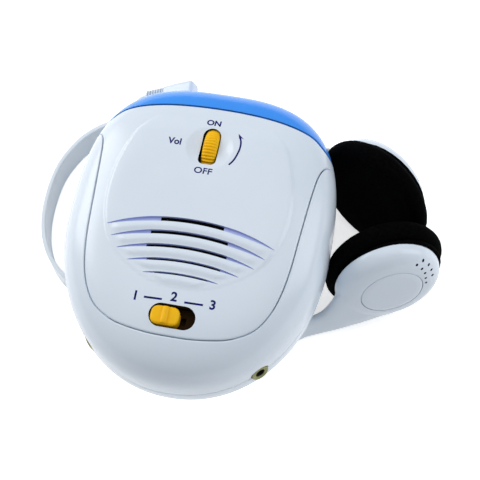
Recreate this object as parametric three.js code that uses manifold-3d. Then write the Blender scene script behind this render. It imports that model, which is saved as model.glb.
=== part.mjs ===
// A palm-sized portable doppler that stands on its listening bell, with a headset plugged into it.
// Millimetres, +Z up. The case's own middle is its seam, halfway along the case; the table is at z = 0.
import * as THREE from 'three';
import { mergeVertices } from 'three/addons/utils/BufferGeometryUtils.js';
import Module from 'manifold-3d';

// Clearances
const seam = 0.36;
const fit = 0.3;
const running = 0.1;

// Headband, which lies on its edge and sets how high the case stands
const bandHeight = 14;
const bandWeb = 2;
const bandRim = 2.9;
const bandRimHeight = 1.3;
const bandToCase = 2.3;
const bandAxisY = 19;
const armHalfSpread = 38.2;
const bandBack = -67.4;
const bandEnd = 14;
const sleeveLength = 32;
const sleeveThickness = 4.4;
const stripHeight = 8.4;
const stripThickness = 1;
const stripInside = 26;

// Case outline: a superellipse with its own length and fullness above and below the middle
const caseHalfWidth = 48.4;
const caseTopLength = 56.7;
const caseBottomLength = 59.3;
const caseTopFullness = 3.1;
const caseBottomFullness = 2.085;
const frontHeight = 24;
const frontFullness = 3.78;
const backDepth = 21;
const backFullness = 3.2;
const backFlat = 18.5;
const wall = 2.2;
const raisedField = 0.8;

// Speaker and its slots
const speakerToSlider = 26.2;
const speakerRadius = 18;
const slotFieldRadius = 14.5;
const slotCount = 5;
const slotPitch = 4.95;
const firstSlotOverSpeaker = 8.9;
const slotBow = 0.0057;
const slotWidth = 1.7;
const slotMargin = 1.7;
const slotRecess = 0.7;

// Thumbwheel
const wheelFromTop = 28.4;
const wheelRadius = 11;
const wheelWidth = 5.4;
const wheelProud = 2.3;
const wheelGap = 0.6;
const wheelRidges = 26;
const ridgeDepth = 0.5;
const wheelShaftRadius = 1.5;
const potRadius = 4.6;
const potLength = 5;
const dishRadius = 8;
const dishDepth = 1.2;

// Slider
const sliderFromBottom = 21.6;
const sliderLength = 11;
const sliderWidth = 7.4;
const sliderTravel = 5.2;
const sliderProud = 1.2;
const sliderRib = 1.3;

// Bell, battery and board
const bellY = 8;
const bellRadius = 22;
const bellNeckRadius = 15;
const bellWall = 1.6;
const capsuleRadius = 4.8;
const cellRadius = 5.25;
const cellLength = 44.5;
const cellFromBottom = 27.3;
const cellPitch = 10.8;
const doorWall = 1.8;
const boardThickness = 1.6;
const boardLevel = 1.2;
const boardHalfWidth = 28;
const boardFromTop = 16.7;
const boardFromBottom = 31.3;
const screwRadius = 1.3;
const screwHeadRadius = 2.3;
const bossWall = 1.1;
const topScrewX = 24;
const topScrewFromTop = 7.6;
const bottomScrewX = 22;
const bottomScrewFromBottom = 12.6;

// Sockets and plug
const socketRadius = 1.85;
const auxRingRadius = 3.4;
const auxLift = 12;
const auxFromBottom = 13.31;
const plugX = -17;
const plugTurn = 8;
const plugDip = 21;
const plugWidth = 6.6;
const plugLength = 12.6;
const plugStandOff = 3.6;
const plugSink = 0.87;
const reliefLength = 8.8;
const reliefRadius = 3.2;
const reliefEndRadius = 2.3;

// Cups
const shellRadius = 20;
const shellDepth = 8;
const shellWall = 1.6;
const capRadius = 0.585 * shellRadius;
const capThickness = 1.2;
const padRadius = 22.3;
const padThickness = 8.2;
const baffleThickness = 1.2;
const driverRadius = 13;
const driverDepth = 3.6;
const cupStandOff = 0.4;
const neckHalf = 5.6;
const neckThickness = 3.6;
const neckMiddle = 2.6;
const nearCup = { beyondCase: 22.7, y: 3.2, turn: -65, lean: 12, tail: 38, side: -1 };
const farCup = { beyondCase: 14.2, y: 40.4, turn: 61, lean: -15, tail: 26, side: 1 };

// Cord and its coil
const cordRadius = 1;
const coilX = -25;
const coilY = 37.3;
const coilMiddleRadius = 12;
const coilPitch = 2.45;
const coilRings = 3;
const coilLayers = 4;
const coilLift = 0.7;
const tieThickness = 0.5;
const tieWidth = 4;

// Places along the case, each measured from the end that it belongs to
const wheelY = caseTopLength - wheelFromTop;
const sliderY = sliderFromBottom - caseBottomLength;
const sliderX = -sliderTravel / 2;
const speakerY = sliderY + speakerToSlider;
const firstSlotY = speakerY + firstSlotOverSpeaker;
const cellY = cellFromBottom - caseBottomLength;
const boardEnd = caseTopLength - boardFromTop;
const boardStart = boardFromBottom - caseBottomLength;
const auxY = auxFromBottom - caseBottomLength;

const bellHeight = bandHeight + bandToCase;
const seamLevel = bellHeight + backFlat;

const wasm = await Module();
wasm.setup();

const plastic = (color, roughness = 0.35) =>
  new THREE.MeshStandardMaterial({ color, roughness, metalness: 0 });
const metal = (color, roughness = 0.3) =>
  new THREE.MeshStandardMaterial({ color, roughness, metalness: 1 });
const white = plastic(0xf0f3f8);
const blue = plastic(0x4a98f5);
const yellow = plastic(0xf7be1c, 0.45);
const foam = plastic(0x0b0b0c, 0.95);
const black = plastic(0x1c1c1e, 0.6);
const boardGreen = plastic(0x1d6b3a, 0.5);
const steel = metal(0xc9ccd0);
const brass = metal(0xb89a4a);

const degrees = THREE.MathUtils.degToRad;

// A closed three.js geometry as a solid that can be joined and cut.
function solid(geometry) {
  const bare = geometry.index ? geometry.toNonIndexed() : geometry.clone();
  bare.deleteAttribute('normal');
  bare.deleteAttribute('uv');
  const merged = mergeVertices(bare, 1e-4);
  const vertProperties = new Float32Array(merged.attributes.position.array);
  const triVerts = new Uint32Array(merged.index.array);
  return new wasm.Manifold(new wasm.Mesh({ numProp: 3, vertProperties, triVerts }));
}

function geometryOf(body) {
  const { vertProperties, triVerts } = body.getMesh();
  const geometry = new THREE.BufferGeometry();
  geometry.setAttribute('position', new THREE.BufferAttribute(new Float32Array(vertProperties), 3));
  geometry.setIndex(new THREE.BufferAttribute(new Uint32Array(triVerts), 1));
  geometry.computeVertexNormals();
  return geometry;
}

function addPiece(parent, name, shape, material) {
  const geometry = shape.isBufferGeometry ? shape : geometryOf(shape);
  const piece = new THREE.Mesh(geometry, material);
  piece.name = name;
  parent.add(piece);
  return piece;
}

const join = (...bodies) => bodies.reduce((whole, body) => whole.add(body));
const cut = (body, ...tools) => tools.reduce((rest, tool) => rest.subtract(tool), body);

// An upright block between two corners.
function block(low, high) {
  const size = new THREE.Vector3().subVectors(new THREE.Vector3(...high), new THREE.Vector3(...low));
  const middle = new THREE.Vector3(...low).addScaledVector(size, 0.5);
  return new THREE.BoxGeometry(size.x, size.y, size.z).translate(middle.x, middle.y, middle.z);
}

// An upright round post.
function post(x, y, radius, low, high, sides = 24) {
  return new THREE.CylinderGeometry(radius, radius, high - low, sides)
    .rotateX(Math.PI / 2)
    .translate(x, y, (low + high) / 2);
}

// A flat outline carried straight up from one level to another.
function prism(points, low, high) {
  const shape = new THREE.Shape(points.map(([x, y]) => new THREE.Vector2(x, y)));
  return new THREE.ExtrudeGeometry(shape, { depth: high - low, bevelEnabled: false }).translate(0, 0, low);
}

// A profile of [radius, height] turned about +Z; it starts and ends on the axis.
function turned(profile, sides = 36) {
  const points = profile.map(([radius, height]) => new THREE.Vector2(radius, height));
  return new THREE.LatheGeometry(points, sides).rotateX(Math.PI / 2);
}

function smoothLine(points, steps) {
  const curve = new THREE.CatmullRomCurve3(points.map(([x, y, z = 0]) => new THREE.Vector3(x, y, z)));
  return curve.getPoints(steps).map((point) => [point.x, point.y, point.z]);
}

// The line moved sideways, to its left, by a distance.
function offsetLine(points, distance) {
  return points.map(([x, y], index) => {
    const before = points[Math.max(index - 1, 0)];
    const after = points[Math.min(index + 1, points.length - 1)];
    const along = new THREE.Vector2(after[0] - before[0], after[1] - before[1]).normalize();
    return [x - along.y * distance, y + along.x * distance];
  });
}

const mirrored = (points) => points.map(([x, y]) => [-x, y]).reverse();

// Distance from the case's middle to its outline, in one direction.
function outlineRadius(angle, inset = 0) {
  const across = Math.abs(Math.cos(angle)) / (caseHalfWidth - inset);
  const isTop = Math.sin(angle) > 0;
  const length = isTop ? caseTopLength : caseBottomLength;
  const fullness = isTop ? caseTopFullness : caseBottomFullness;
  const along = Math.abs(Math.sin(angle)) / (length - inset);
  return (across ** fullness + along ** fullness) ** (-1 / fullness);
}

// Half width of the outline at a level along the case.
function outlineX(y) {
  const length = y > 0 ? caseTopLength : caseBottomLength;
  const fullness = y > 0 ? caseTopFullness : caseBottomFullness;
  return caseHalfWidth * (1 - (Math.abs(y) / length) ** fullness) ** (1 / fullness);
}

// Half of the case as a solid: the outline shrinks as it rises (or sinks) from the seam to a flat crown.
function caseHalf(inset, height, fullness, isFront, steps = 44, rings = 6) {
  const rise = isFront ? 1 : -1;
  const positions = [0, 0, 0];
  for (let ring = 0; ring < rings; ring += 1) {
    const lift = (ring / rings) * (Math.PI / 2);
    const share = Math.cos(lift) ** (2 / fullness);
    const level = rise * height * Math.sin(lift) ** (2 / fullness);
    for (let step = 0; step < steps; step += 1) {
      const angle = (step / steps) * Math.PI * 2;
      const radius = outlineRadius(angle, inset) * share;
      positions.push(radius * Math.cos(angle), radius * Math.sin(angle), level);
    }
  }
  positions.push(0, 0, positions.at(-1));
  const crown = positions.length / 3 - 1;
  const index = [];
  const face = (a, b, c) => index.push(...(isFront ? [a, b, c] : [a, c, b]));
  for (let step = 0; step < steps; step += 1) {
    const next = (step + 1) % steps;
    face(0, 1 + next, 1 + step);
    for (let ring = 0; ring < rings - 1; ring += 1) {
      const low = 1 + ring * steps;
      const high = low + steps;
      face(low + step, low + next, high + next);
      face(low + step, high + next, high + step);
    }
    const last = 1 + (rings - 1) * steps;
    face(last + step, last + next, crown);
  }
  const geometry = new THREE.BufferGeometry();
  geometry.setAttribute('position', new THREE.Float32BufferAttribute(positions, 3));
  geometry.setIndex(index);
  return geometry;
}

// Height of the front's outer face over the seam.
function frontLevel(x, y) {
  const share = Math.hypot(x, y) / outlineRadius(Math.atan2(y, x));
  return frontHeight * (1 - share ** frontFullness) ** (1 / frontFullness);
}

// Turns a shape that points along +Z to point along a direction, from a place.
function aimed(geometry, place, direction) {
  const turn = new THREE.Quaternion().setFromUnitVectors(
    new THREE.Vector3(0, 0, 1),
    new THREE.Vector3(...direction).normalize(),
  );
  return geometry.applyQuaternion(turn).translate(...place);
}

const root = new THREE.Group();
const unit = new THREE.Group();
unit.position.z = seamLevel;
root.add(unit);

// Case front: bib-shaped panel, collar round its sides and bottom, and top cap
// The lines on the front as shares of the case's half width and of its length to that end.
const onCase = (points, topLength = caseTopLength) => points.map(
  ([x, y]) => [x * caseHalfWidth, y * (y > 0 ? topLength : caseBottomLength)],
);
const grooveSide = onCase([
  [1.3223, 0.543], [0.9401, 0.5194], [0.8678, 0.4992], [0.8306, 0.4216], [0.8099, 0.2867],
  [0.7872, 0.0506], [0.7645, -0.2024], [0.7335, -0.371], [0.6818, -0.5059], [0.5992, -0.6155],
  [0.4855, -0.6847], [0.3616, -0.7234], [0.1736, -0.7487],
], caseBottomLength);
const capSide = onCase([
  [1.3223, 0.5979], [0.9504, 0.6067], [0.8368, 0.6561], [0.7128, 0.7302], [0.4649, 0.7866],
  [0.155, 0.8113],
]);
const fieldSide = onCase([
  [0.2893, 0.709], [0.4339, 0.6808], [0.5372, 0.5996], [0.5992, 0.5115], [0.6715, 0.2998],
  [0.688, 0.0882], [0.6612, -0.0675], [0.5785, -0.2277], [0.4256, -0.3541], [0.2066, -0.4452],
]);
const grooveMiddle = onCase([[0, -0.7538]]);
const fieldMiddle = onCase([[0, -0.4637]]);
const grooveLine = smoothLine([...grooveSide, ...grooveMiddle, ...mirrored(grooveSide)], 40);
const capLine = smoothLine([...capSide, ...mirrored(capSide)], 24);
const fieldLine = smoothLine([...fieldSide, ...fieldMiddle, ...mirrored(fieldSide)], 34);

const tall = frontHeight + 6;
const frontOuter = solid(caseHalf(0, frontHeight, frontFullness, true).translate(0, 0, seam / 2));
const frontInner = solid(caseHalf(wall, frontHeight - wall, frontFullness, true, 26, 4));
const frontShell = cut(frontOuter, frontInner);
const cornerX = caseHalfWidth * 1.3;
const topCorners = [[-cornerX, caseTopLength * 1.4], [cornerX, caseTopLength * 1.4]];
const capRegion = (gap) => solid(prism([...offsetLine(capLine, gap), ...topCorners], -1, tall));
const bibRegion = (gap) => solid(prism([...offsetLine(grooveLine, gap), ...topCorners], -1, tall));

// The bosses that the four case screws turn into, and the screws' places.
const screwPlaces = [
  [topScrewX, caseTopLength - topScrewFromTop], [-topScrewX, caseTopLength - topScrewFromTop],
  [bottomScrewX, bottomScrewFromBottom - caseBottomLength],
  [-bottomScrewX, bottomScrewFromBottom - caseBottomLength],
];
const bossRadius = screwRadius + bossWall;
const halfWall = solid(caseHalf(wall / 2, frontHeight - wall / 2, frontFullness, true, 26, 4));
const screwReach = 8.6;
const frontBosses = screwPlaces.map(
  ([x, y]) => solid(post(x, y, bossRadius, seam, frontHeight, 14)).intersect(halfWall),
);
const frontBores = screwPlaces.map(
  ([x, y]) => solid(post(x, y, screwRadius + running, -1, screwReach + 0.9, 8)),
);

const speakerSeatLevel = frontHeight - wall - 5.5;
const wheelLevel = frontLevel(0, wheelY) + raisedField + wheelProud - wheelRadius;
const wheelPlace = [0, wheelY, wheelLevel];

// The thumbwheel's outer shape: a disc with rounded shoulders, along +X.
function wheelBarrel(gap, sides) {
  const radius = wheelRadius + gap;
  const half = wheelWidth / 2 + gap;
  const profile = [
    [0, -half], [radius - 1.7, -half], [radius - 0.5, -half + 0.9], [radius, -half + 2],
    [radius, half - 2], [radius - 0.5, half - 0.9], [radius - 1.7, half], [0, half],
  ];
  return aimed(turned(profile, sides), wheelPlace, [1, 0, 0]);
}
const dishSphere = (dishRadius ** 2 + dishDepth ** 2) / (2 * dishDepth);
const dish = new THREE.SphereGeometry(dishSphere, 40, 28)
  .translate(0, wheelY, frontLevel(0, wheelY) + raisedField - dishDepth + dishSphere);
const sliderLevel = frontLevel(0, sliderY);
const sliderSlotLength = sliderLength + sliderTravel + 0.6;
const sliderSlotWidth = sliderWidth + 0.6;

// A slot with round ends, along X.
function roundSlot(length, width, low, high, x, y) {
  const half = (length - width) / 2;
  const points = [];
  for (let step = 0; step <= 8; step += 1) {
    const angle = -Math.PI / 2 + (step / 8) * Math.PI;
    points.push([x + half + (width / 2) * Math.cos(angle), y + (width / 2) * Math.sin(angle)]);
  }
  const left = points.map(([px, py]) => [2 * x - px, 2 * y - py]);
  return prism([...points, ...left], low, high);
}

// Half width of the raised field at a level along the case.
function fieldHalfWidth(y) {
  const side = fieldLine.filter(([x]) => x >= 0);
  const index = side.findIndex((point) => point[1] <= y);
  const [above, below] = [side[index - 1], side[index]];
  const share = (above[1] - y) / (above[1] - below[1]);
  return above[0] + (below[0] - above[0]) * share;
}

// One bowed slot, widest in the middle and drawn to a point at both ends.
function bowedSlot(row, low, high) {
  const middle = firstSlotY - row * slotPitch;
  let half = 0;
  for (let pass = 0; pass < 8; pass += 1) {
    half = (half + fieldHalfWidth(middle - slotBow * half ** 2) - slotMargin) / 2;
  }
  const upper = [];
  const lower = [];
  for (let step = 0; step <= 8; step += 1) {
    const share = (step / 8) * 2 - 1;
    const thick = (slotWidth / 2) * Math.min(1, 2.6 * (1 - share ** 2)) + 0.08;
    const x = share * half;
    upper.push([x, middle - slotBow * x ** 2 + thick]);
    lower.push([x, middle - slotBow * x ** 2 - thick]);
  }
  return prism([...lower, ...upper.toReversed()], low, high);
}

const slotRows = Array.from({ length: slotCount }, (_, row) => row);
const speakerPort = solid(post(0, speakerY, slotFieldRadius, 0, tall, 20));
const recessFloor = solid(caseHalf(0, frontHeight + raisedField - slotRecess, frontFullness, true));
const slotCuts = slotRows.map((row) => {
  const slot = solid(bowedSlot(row, frontHeight - 6, tall));
  return join(slot.intersect(speakerPort), cut(slot, recessFloor));
});

const fieldOuter = solid(caseHalf(-0.2, frontHeight + raisedField, frontFullness, true));
const fieldBlock = solid(prism(fieldLine, frontHeight - 9, tall));
const raised = cut(fieldOuter.intersect(fieldBlock), frontInner);
const speakerSeat = cut(
  solid(post(0, speakerY, speakerRadius + fit + 1.6, speakerSeatLevel, frontHeight, 24))
    .intersect(frontOuter),
  solid(post(0, speakerY, speakerRadius + fit, 0, frontHeight - wall - 0.4, 24)),
);
const switchPostX = 12.5;
const switchBoardLevel = sliderLevel - 15.6;
const switchPostLow = switchBoardLevel + boardThickness + fit;
const switchPosts = [-1, 1].map((side) =>
  solid(post(side * switchPostX, sliderY, 1.6, switchPostLow, sliderLevel - wall / 2, 10)),
);
const sliderSlot = roundSlot(
  sliderSlotLength, sliderSlotWidth, sliderLevel - 6, tall, sliderX + sliderTravel / 2, sliderY,
);
const bib = frontShell.intersect(bibRegion(-seam / 2)).intersect(cut(frontOuter, capRegion(seam / 2)));
const frontPanel = cut(
  join(bib, raised, speakerSeat, ...switchPosts),
  ...slotCuts,
  solid(wheelBarrel(wheelGap, 22)),
  solid(dish),
  solid(sliderSlot),
);
addPiece(unit, 'front_panel', frontPanel, white);

// Sockets: two in the lower sides, one in the top end
const auxHeading = degrees(-44);
const lifted = degrees(auxLift);
const auxDirection = (side) => [
  side * Math.cos(auxHeading) * Math.cos(lifted), Math.sin(auxHeading) * Math.cos(lifted), Math.sin(lifted),
];
const turnedPlug = degrees(90 + plugTurn);
const plugAxis = [Math.cos(turnedPlug), Math.sin(turnedPlug), 0];
const plugShare = Math.abs(plugX) / caseHalfWidth;
const topAtPlug = caseTopLength * (1 - plugShare ** caseTopFullness) ** (1 / caseTopFullness);
const plugBase = [plugX, topAtPlug - plugSink, 0];
const sockets = [
  { name: 'aux_jack', place: [outlineX(auxY), auxY, 1], direction: auxDirection(1) },
  { name: 'record_jack', place: [-outlineX(auxY), auxY, 1], direction: auxDirection(-1) },
  { name: 'headset_jack', place: plugBase, direction: plugAxis },
];
const socketDepth = 13;
const socketBodyRadius = auxRingRadius - 0.4;
const holeProfile = [[0, -6], [auxRingRadius + fit, -6], [auxRingRadius + fit, 6], [0, 6]];
const socketHoles = sockets.map(
  ({ place, direction }) => solid(aimed(turned(holeProfile, 14), place, direction)),
);

const collar = cut(
  join(cut(frontShell, bibRegion(seam / 2)), frontBosses[2], frontBosses[3]),
  frontBores[2],
  frontBores[3],
  ...socketHoles,
);
addPiece(unit, 'side_collar', collar, white);
const topCap = cut(
  join(frontShell.intersect(capRegion(-seam / 2)), frontBosses[0], frontBosses[1]),
  frontBores[0],
  frontBores[1],
  ...socketHoles,
);
addPiece(unit, 'top_cap', topCap, blue);

sockets.forEach(({ name, place, direction }) => {
  const profile = [
    [0, -socketDepth - 1], [socketBodyRadius, -socketDepth - 1], [socketBodyRadius, -1],
    [auxRingRadius, -1], [auxRingRadius, 0.1], [auxRingRadius - 0.5, 0.5], [socketRadius + 0.4, 0.5],
    [socketRadius, 0.1], [socketRadius, -socketDepth], [0, -socketDepth],
  ];
  addPiece(unit, name, aimed(turned(profile, 14), place, direction), brass);
});

// Back shell with its screw tubes and board posts, and the battery door cut out of it
const doorHalf = cellLength / 2 + 1.6;
const doorTop = cellY + cellPitch / 2 + cellRadius;
const doorBottom = cellY - cellPitch / 2 - cellRadius - 0.2;
const screwTubeRadius = screwHeadRadius + fit + bossWall;
const headLevel = -8;
const backFlatCut = (level) => solid(block([-80, -80, -60], [80, 80, -level]));
const backOuter = cut(
  solid(caseHalf(0, backDepth, backFullness, false).translate(0, 0, -seam / 2)),
  backFlatCut(backFlat),
);
const backInner = cut(
  solid(caseHalf(wall, backDepth - wall, backFullness, false, 26, 4)),
  backFlatCut(backFlat - wall),
);
const screwTubes = screwPlaces.map(([x, y]) =>
  solid(post(x, y, screwTubeRadius, -backDepth, -seam, 12)).intersect(backOuter),
);
const screwBores = screwPlaces.map(([x, y]) =>
  join(
    solid(post(x, y, screwRadius + running, -backDepth - 1, 1, 8)),
    solid(post(x, y, screwHeadRadius + fit, -backDepth - 1, headLevel, 12)),
  ),
);
const boardPostInset = 2.6;
const boardPostFromEnd = 4;
const boardPostRadius = 1.7;
const boardPostX = boardHalfWidth - boardPostInset;
const boardPostTop = boardLevel - fit;
const boardPostPlaces = [boardEnd - boardPostFromEnd, boardStart + boardPostFromEnd].flatMap(
  (y) => [[-boardPostX, y], [boardPostX, y]],
);
const boardPosts = boardPostPlaces.map(([x, y]) => {
  const room = backOuter.add(solid(post(x, y, boardPostRadius + 1, -5, boardPostTop, 8)));
  return solid(post(x, y, boardPostRadius, -backDepth, boardPostTop, 8)).intersect(room);
});
const doorOpening = solid(
  block([-doorHalf, doorBottom, -backDepth - 2], [doorHalf, doorTop, -doorWall - cellRadius]),
);
const doorSolid = solid(
  block([-doorHalf + fit, doorBottom + fit, -backDepth - 2], [doorHalf - fit, doorTop - fit, -cellRadius]),
);
const capsuleHole = solid(post(0, bellY, capsuleRadius + fit, -backDepth, 0, 24));
const backShell = cut(
  join(cut(backOuter, backInner), ...screwTubes, ...boardPosts),
  ...screwBores,
  doorOpening,
  capsuleHole,
  ...socketHoles,
);
addPiece(unit, 'back_shell', backShell, white);
const doorInner = cut(
  solid(caseHalf(doorWall, backDepth - doorWall, backFullness, false)),
  backFlatCut(backFlat - doorWall),
);
addPiece(unit, 'battery_door', cut(backOuter, doorInner).intersect(doorSolid), white);

screwPlaces.forEach(([x, y], index) => {
  const screw = join(
    solid(post(x, y, screwHeadRadius, headLevel - 1.8, headLevel - 0.2, 12)),
    solid(post(x, y, screwRadius, headLevel - 0.4, screwReach, 8)),
  );
  addPiece(unit, `case_screw_${index + 1}`, screw, steel);
});

// Power: two cells on contact plates
const cellLevel = -backFlat + doorWall + cellRadius + 1.5;
[0, 1].forEach((index) => {
  const y = cellY + (index - 0.5) * cellPitch;
  const button = 1;
  const profile = [
    [0, -cellLength / 2], [cellRadius - 0.4, -cellLength / 2], [cellRadius, -cellLength / 2 + 0.4],
    [cellRadius, cellLength / 2 - button - 0.5], [cellRadius - 0.5, cellLength / 2 - button],
    [1.9, cellLength / 2 - button], [1.9, cellLength / 2], [0, cellLength / 2],
  ];
  const heading = index === 0 ? 1 : -1;
  const cell = aimed(turned(profile, 16), [0, y, cellLevel], [heading, 0, 0]);
  addPiece(unit, `battery_${index + 1}`, cell, steel);
});
[-1, 1].forEach((side) => {
  const inner = side * (cellLength / 2 + fit);
  const outer = inner + side * 0.5;
  const plate = block(
    [Math.min(inner, outer), cellY - cellPitch + 0.6, cellLevel - 3.5],
    [Math.max(inner, outer), cellY + cellPitch - 0.6, cellLevel + 4.5],
  );
  addPiece(unit, side < 0 ? 'contact_plate_left' : 'contact_plate_right', plate, steel);
});

// Circuit board with its larger parts
const boardPoints = [];
const boardY = (boardEnd + boardStart) / 2;
const boardHalfLength = (boardEnd - boardStart) / 2;
for (let step = 0; step < 40; step += 1) {
  const angle = (step / 40) * Math.PI * 2;
  const across = Math.abs(Math.cos(angle)) / boardHalfWidth;
  const along = Math.abs(Math.sin(angle)) / boardHalfLength;
  const radius = (across ** 6 + along ** 6) ** (-1 / 6);
  boardPoints.push([radius * Math.cos(angle), boardY + radius * Math.sin(angle)]);
}
addPiece(unit, 'circuit_board', prism(boardPoints, boardLevel, boardLevel + boardThickness), boardGreen);
const boardTop = boardLevel + boardThickness + 0.05;
const chipPlace = [-20, boardY + 6];
const chipSize = [10, 7, 1.8];
const chipEnd = [chipPlace[0] + chipSize[0], chipPlace[1] + chipSize[1], boardTop + chipSize[2]];
addPiece(unit, 'amplifier_chip', block([...chipPlace, boardTop], chipEnd), black);
const capacitorFromEnd = 10;
const capacitor = post(-20, boardEnd - capacitorFromEnd, 3.1, boardTop, boardTop + 7, 20);
addPiece(unit, 'filter_capacitor', capacitor, blue);

// Listening bell, its diaphragm and the microphone capsule in its throat
const bellTop = -backFlat - 0.02;
const bellRim = -backFlat - bellHeight;
const throat = bellTop - 4;
const bellProfile = [
  [0, bellTop], [bellNeckRadius, bellTop], [bellNeckRadius + 0.8, bellTop - 3],
  [bellNeckRadius + 2.6, bellTop - 8], [bellRadius, bellRim + 2.2], [bellRadius, bellRim],
  [bellRadius - bellWall, bellRim], [bellRadius - bellWall, bellRim + 1.6],
  [bellRadius - bellWall - 4, bellRim + 4], [capsuleRadius + 3, throat - 2],
  [capsuleRadius + 1.4, throat], [0, throat],
];
const bell = cut(
  solid(turned(bellProfile.toReversed(), 24).translate(0, bellY, 0)),
  solid(post(0, bellY, capsuleRadius + fit, throat - 6, bellTop + 2, 24)),
);
addPiece(unit, 'listening_bell', bell, white);
addPiece(unit, 'microphone_capsule', post(0, bellY, capsuleRadius, throat + 0.4, -backFlat + 5, 24), steel);
const membrane = post(0, bellY, bellRadius - bellWall - 0.4, bellRim + 0.5, bellRim + 1.3, 24);
addPiece(unit, 'bell_diaphragm', membrane, black);

// Speaker behind the slots
const speakerTop = frontHeight - wall - 1.1;
const speakerFrame = new THREE.Group();
speakerFrame.position.set(0, speakerY, speakerTop);
unit.add(speakerFrame);
const magnetRadius = 8.5;
const clothThickness = 0.3;
addPiece(speakerFrame, 'grille_cloth', post(0, 0, speakerRadius - 0.6, -clothThickness, 0, 28), black);
const basketTop = -clothThickness - 0.1;
addPiece(speakerFrame, 'speaker_basket', turned([
  [0, basketTop - 8.6], [magnetRadius, basketTop - 8.6], [speakerRadius - 2, basketTop - 2.6],
  [speakerRadius, basketTop - 2.2], [speakerRadius, basketTop - 0.9],
  [speakerRadius - 1.6, basketTop - 0.9], [magnetRadius - 1.2, basketTop - 7.6], [0, basketTop - 7.6],
], 18), steel);
addPiece(speakerFrame, 'speaker_cone', turned([
  [0, basketTop - 4.9], [3, basketTop - 5.5], [speakerRadius - 2.2, basketTop - 0.7],
  [speakerRadius - 0.6, basketTop - 0.6], [speakerRadius - 0.6, basketTop - 0.2],
  [speakerRadius - 2.6, basketTop - 0.2], [3, basketTop - 4.8], [0, basketTop - 4.2],
], 18), black);
const magnet = post(0, 0, magnetRadius, basketTop - 12.4, basketTop - 8.9, 32);
addPiece(speakerFrame, 'speaker_magnet', magnet, steel);

// Volume thumbwheel on its shaft, in the potentiometer that stands on the board
const wheelPoints = [];
for (let step = 0; step < wheelRidges * 2; step += 1) {
  const angle = (step / (wheelRidges * 2)) * Math.PI * 2;
  const radius = step % 2 === 0 ? wheelRadius : wheelRadius - ridgeDepth;
  wheelPoints.push([radius * Math.cos(angle), radius * Math.sin(angle)]);
}
const ridged = solid(aimed(prism(wheelPoints, -wheelWidth / 2, wheelWidth / 2), wheelPlace, [1, 0, 0]));
const wheelBore = post(0, 0, wheelShaftRadius + running, -wheelWidth, wheelWidth, 16);
const wheel = cut(
  ridged.intersect(solid(wheelBarrel(0, wheelRidges))),
  solid(aimed(wheelBore, wheelPlace, [1, 0, 0])),
);
addPiece(unit, 'volume_wheel', wheel, yellow);
const potStart = wheelWidth / 2 + 0.9;
const potEnd = potStart + potLength;
const shaftEnd = potEnd - 0.8;
const shaft = post(0, 0, wheelShaftRadius, -wheelWidth / 2, shaftEnd, 20);
addPiece(unit, 'volume_shaft', aimed(shaft, wheelPlace, [1, 0, 0]), steel);
const potFoot = block([potStart + 0.6, wheelY - 4, boardTop], [potEnd - 0.6, wheelY + 4, wheelLevel]);
const potBody = aimed(post(0, 0, potRadius, potStart, potEnd, 28), wheelPlace, [1, 0, 0]);
const potBore = post(0, 0, wheelShaftRadius + running, potStart - 1, shaftEnd + 0.3, 20);
const potCase = cut(
  join(solid(potBody), solid(potFoot)),
  solid(aimed(potBore, wheelPlace, [1, 0, 0])),
);
addPiece(unit, 'volume_pot', potCase, black);

// Mode slider, the switch it drives and the small board that carries them
const sliderFlangeTop = sliderLevel - wall - 1.1;
const sliderTop = sliderLevel + sliderProud;
const halfSlider = sliderLength / 2;
const slider = join(
  solid(roundSlot(sliderLength, sliderWidth, sliderFlangeTop - 1.2, sliderTop, sliderX, sliderY)),
  solid(block(
    [sliderX - halfSlider + 0.4, sliderY - sliderWidth / 2 - 1.1, sliderFlangeTop - 1.6],
    [sliderX + halfSlider - 0.4, sliderY + sliderWidth / 2 + 1.1, sliderFlangeTop - 0.7],
  )),
  solid(block(
    [sliderX - 1.1, sliderY - sliderWidth / 2 + 0.2, sliderTop - 0.5],
    [sliderX + 1.1, sliderY + sliderWidth / 2 - 0.2, sliderTop + sliderRib],
  )),
  solid(block(
    [sliderX - 1.4, sliderY - 1, sliderFlangeTop - 4.4], [sliderX + 1.4, sliderY + 1, sliderFlangeTop - 1],
  )),
);
addPiece(unit, 'mode_slider', slider, yellow);
const switchTop = sliderFlangeTop - 2;
const switchBottom = switchBoardLevel + boardThickness + 0.05;
const switchHalf = 9;
const slideSwitch = cut(
  solid(block([-switchHalf, sliderY - 4.4, switchBottom], [switchHalf, sliderY + 4.4, switchTop])),
  solid(block(
    [sliderX - 1.8, sliderY - 1.4, sliderFlangeTop - 4.8],
    [sliderX + sliderTravel + 1.8, sliderY + 1.4, switchTop + 1],
  )),
);
addPiece(unit, 'slide_switch', slideSwitch, black);
const switchBoard = block(
  [-switchPostX - 2.4, sliderY - 4.6, switchBoardLevel],
  [switchPostX + 2.4, sliderY + 4.6, switchBoardLevel + boardThickness],
);
addPiece(unit, 'switch_board', switchBoard, boardGreen);

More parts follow.
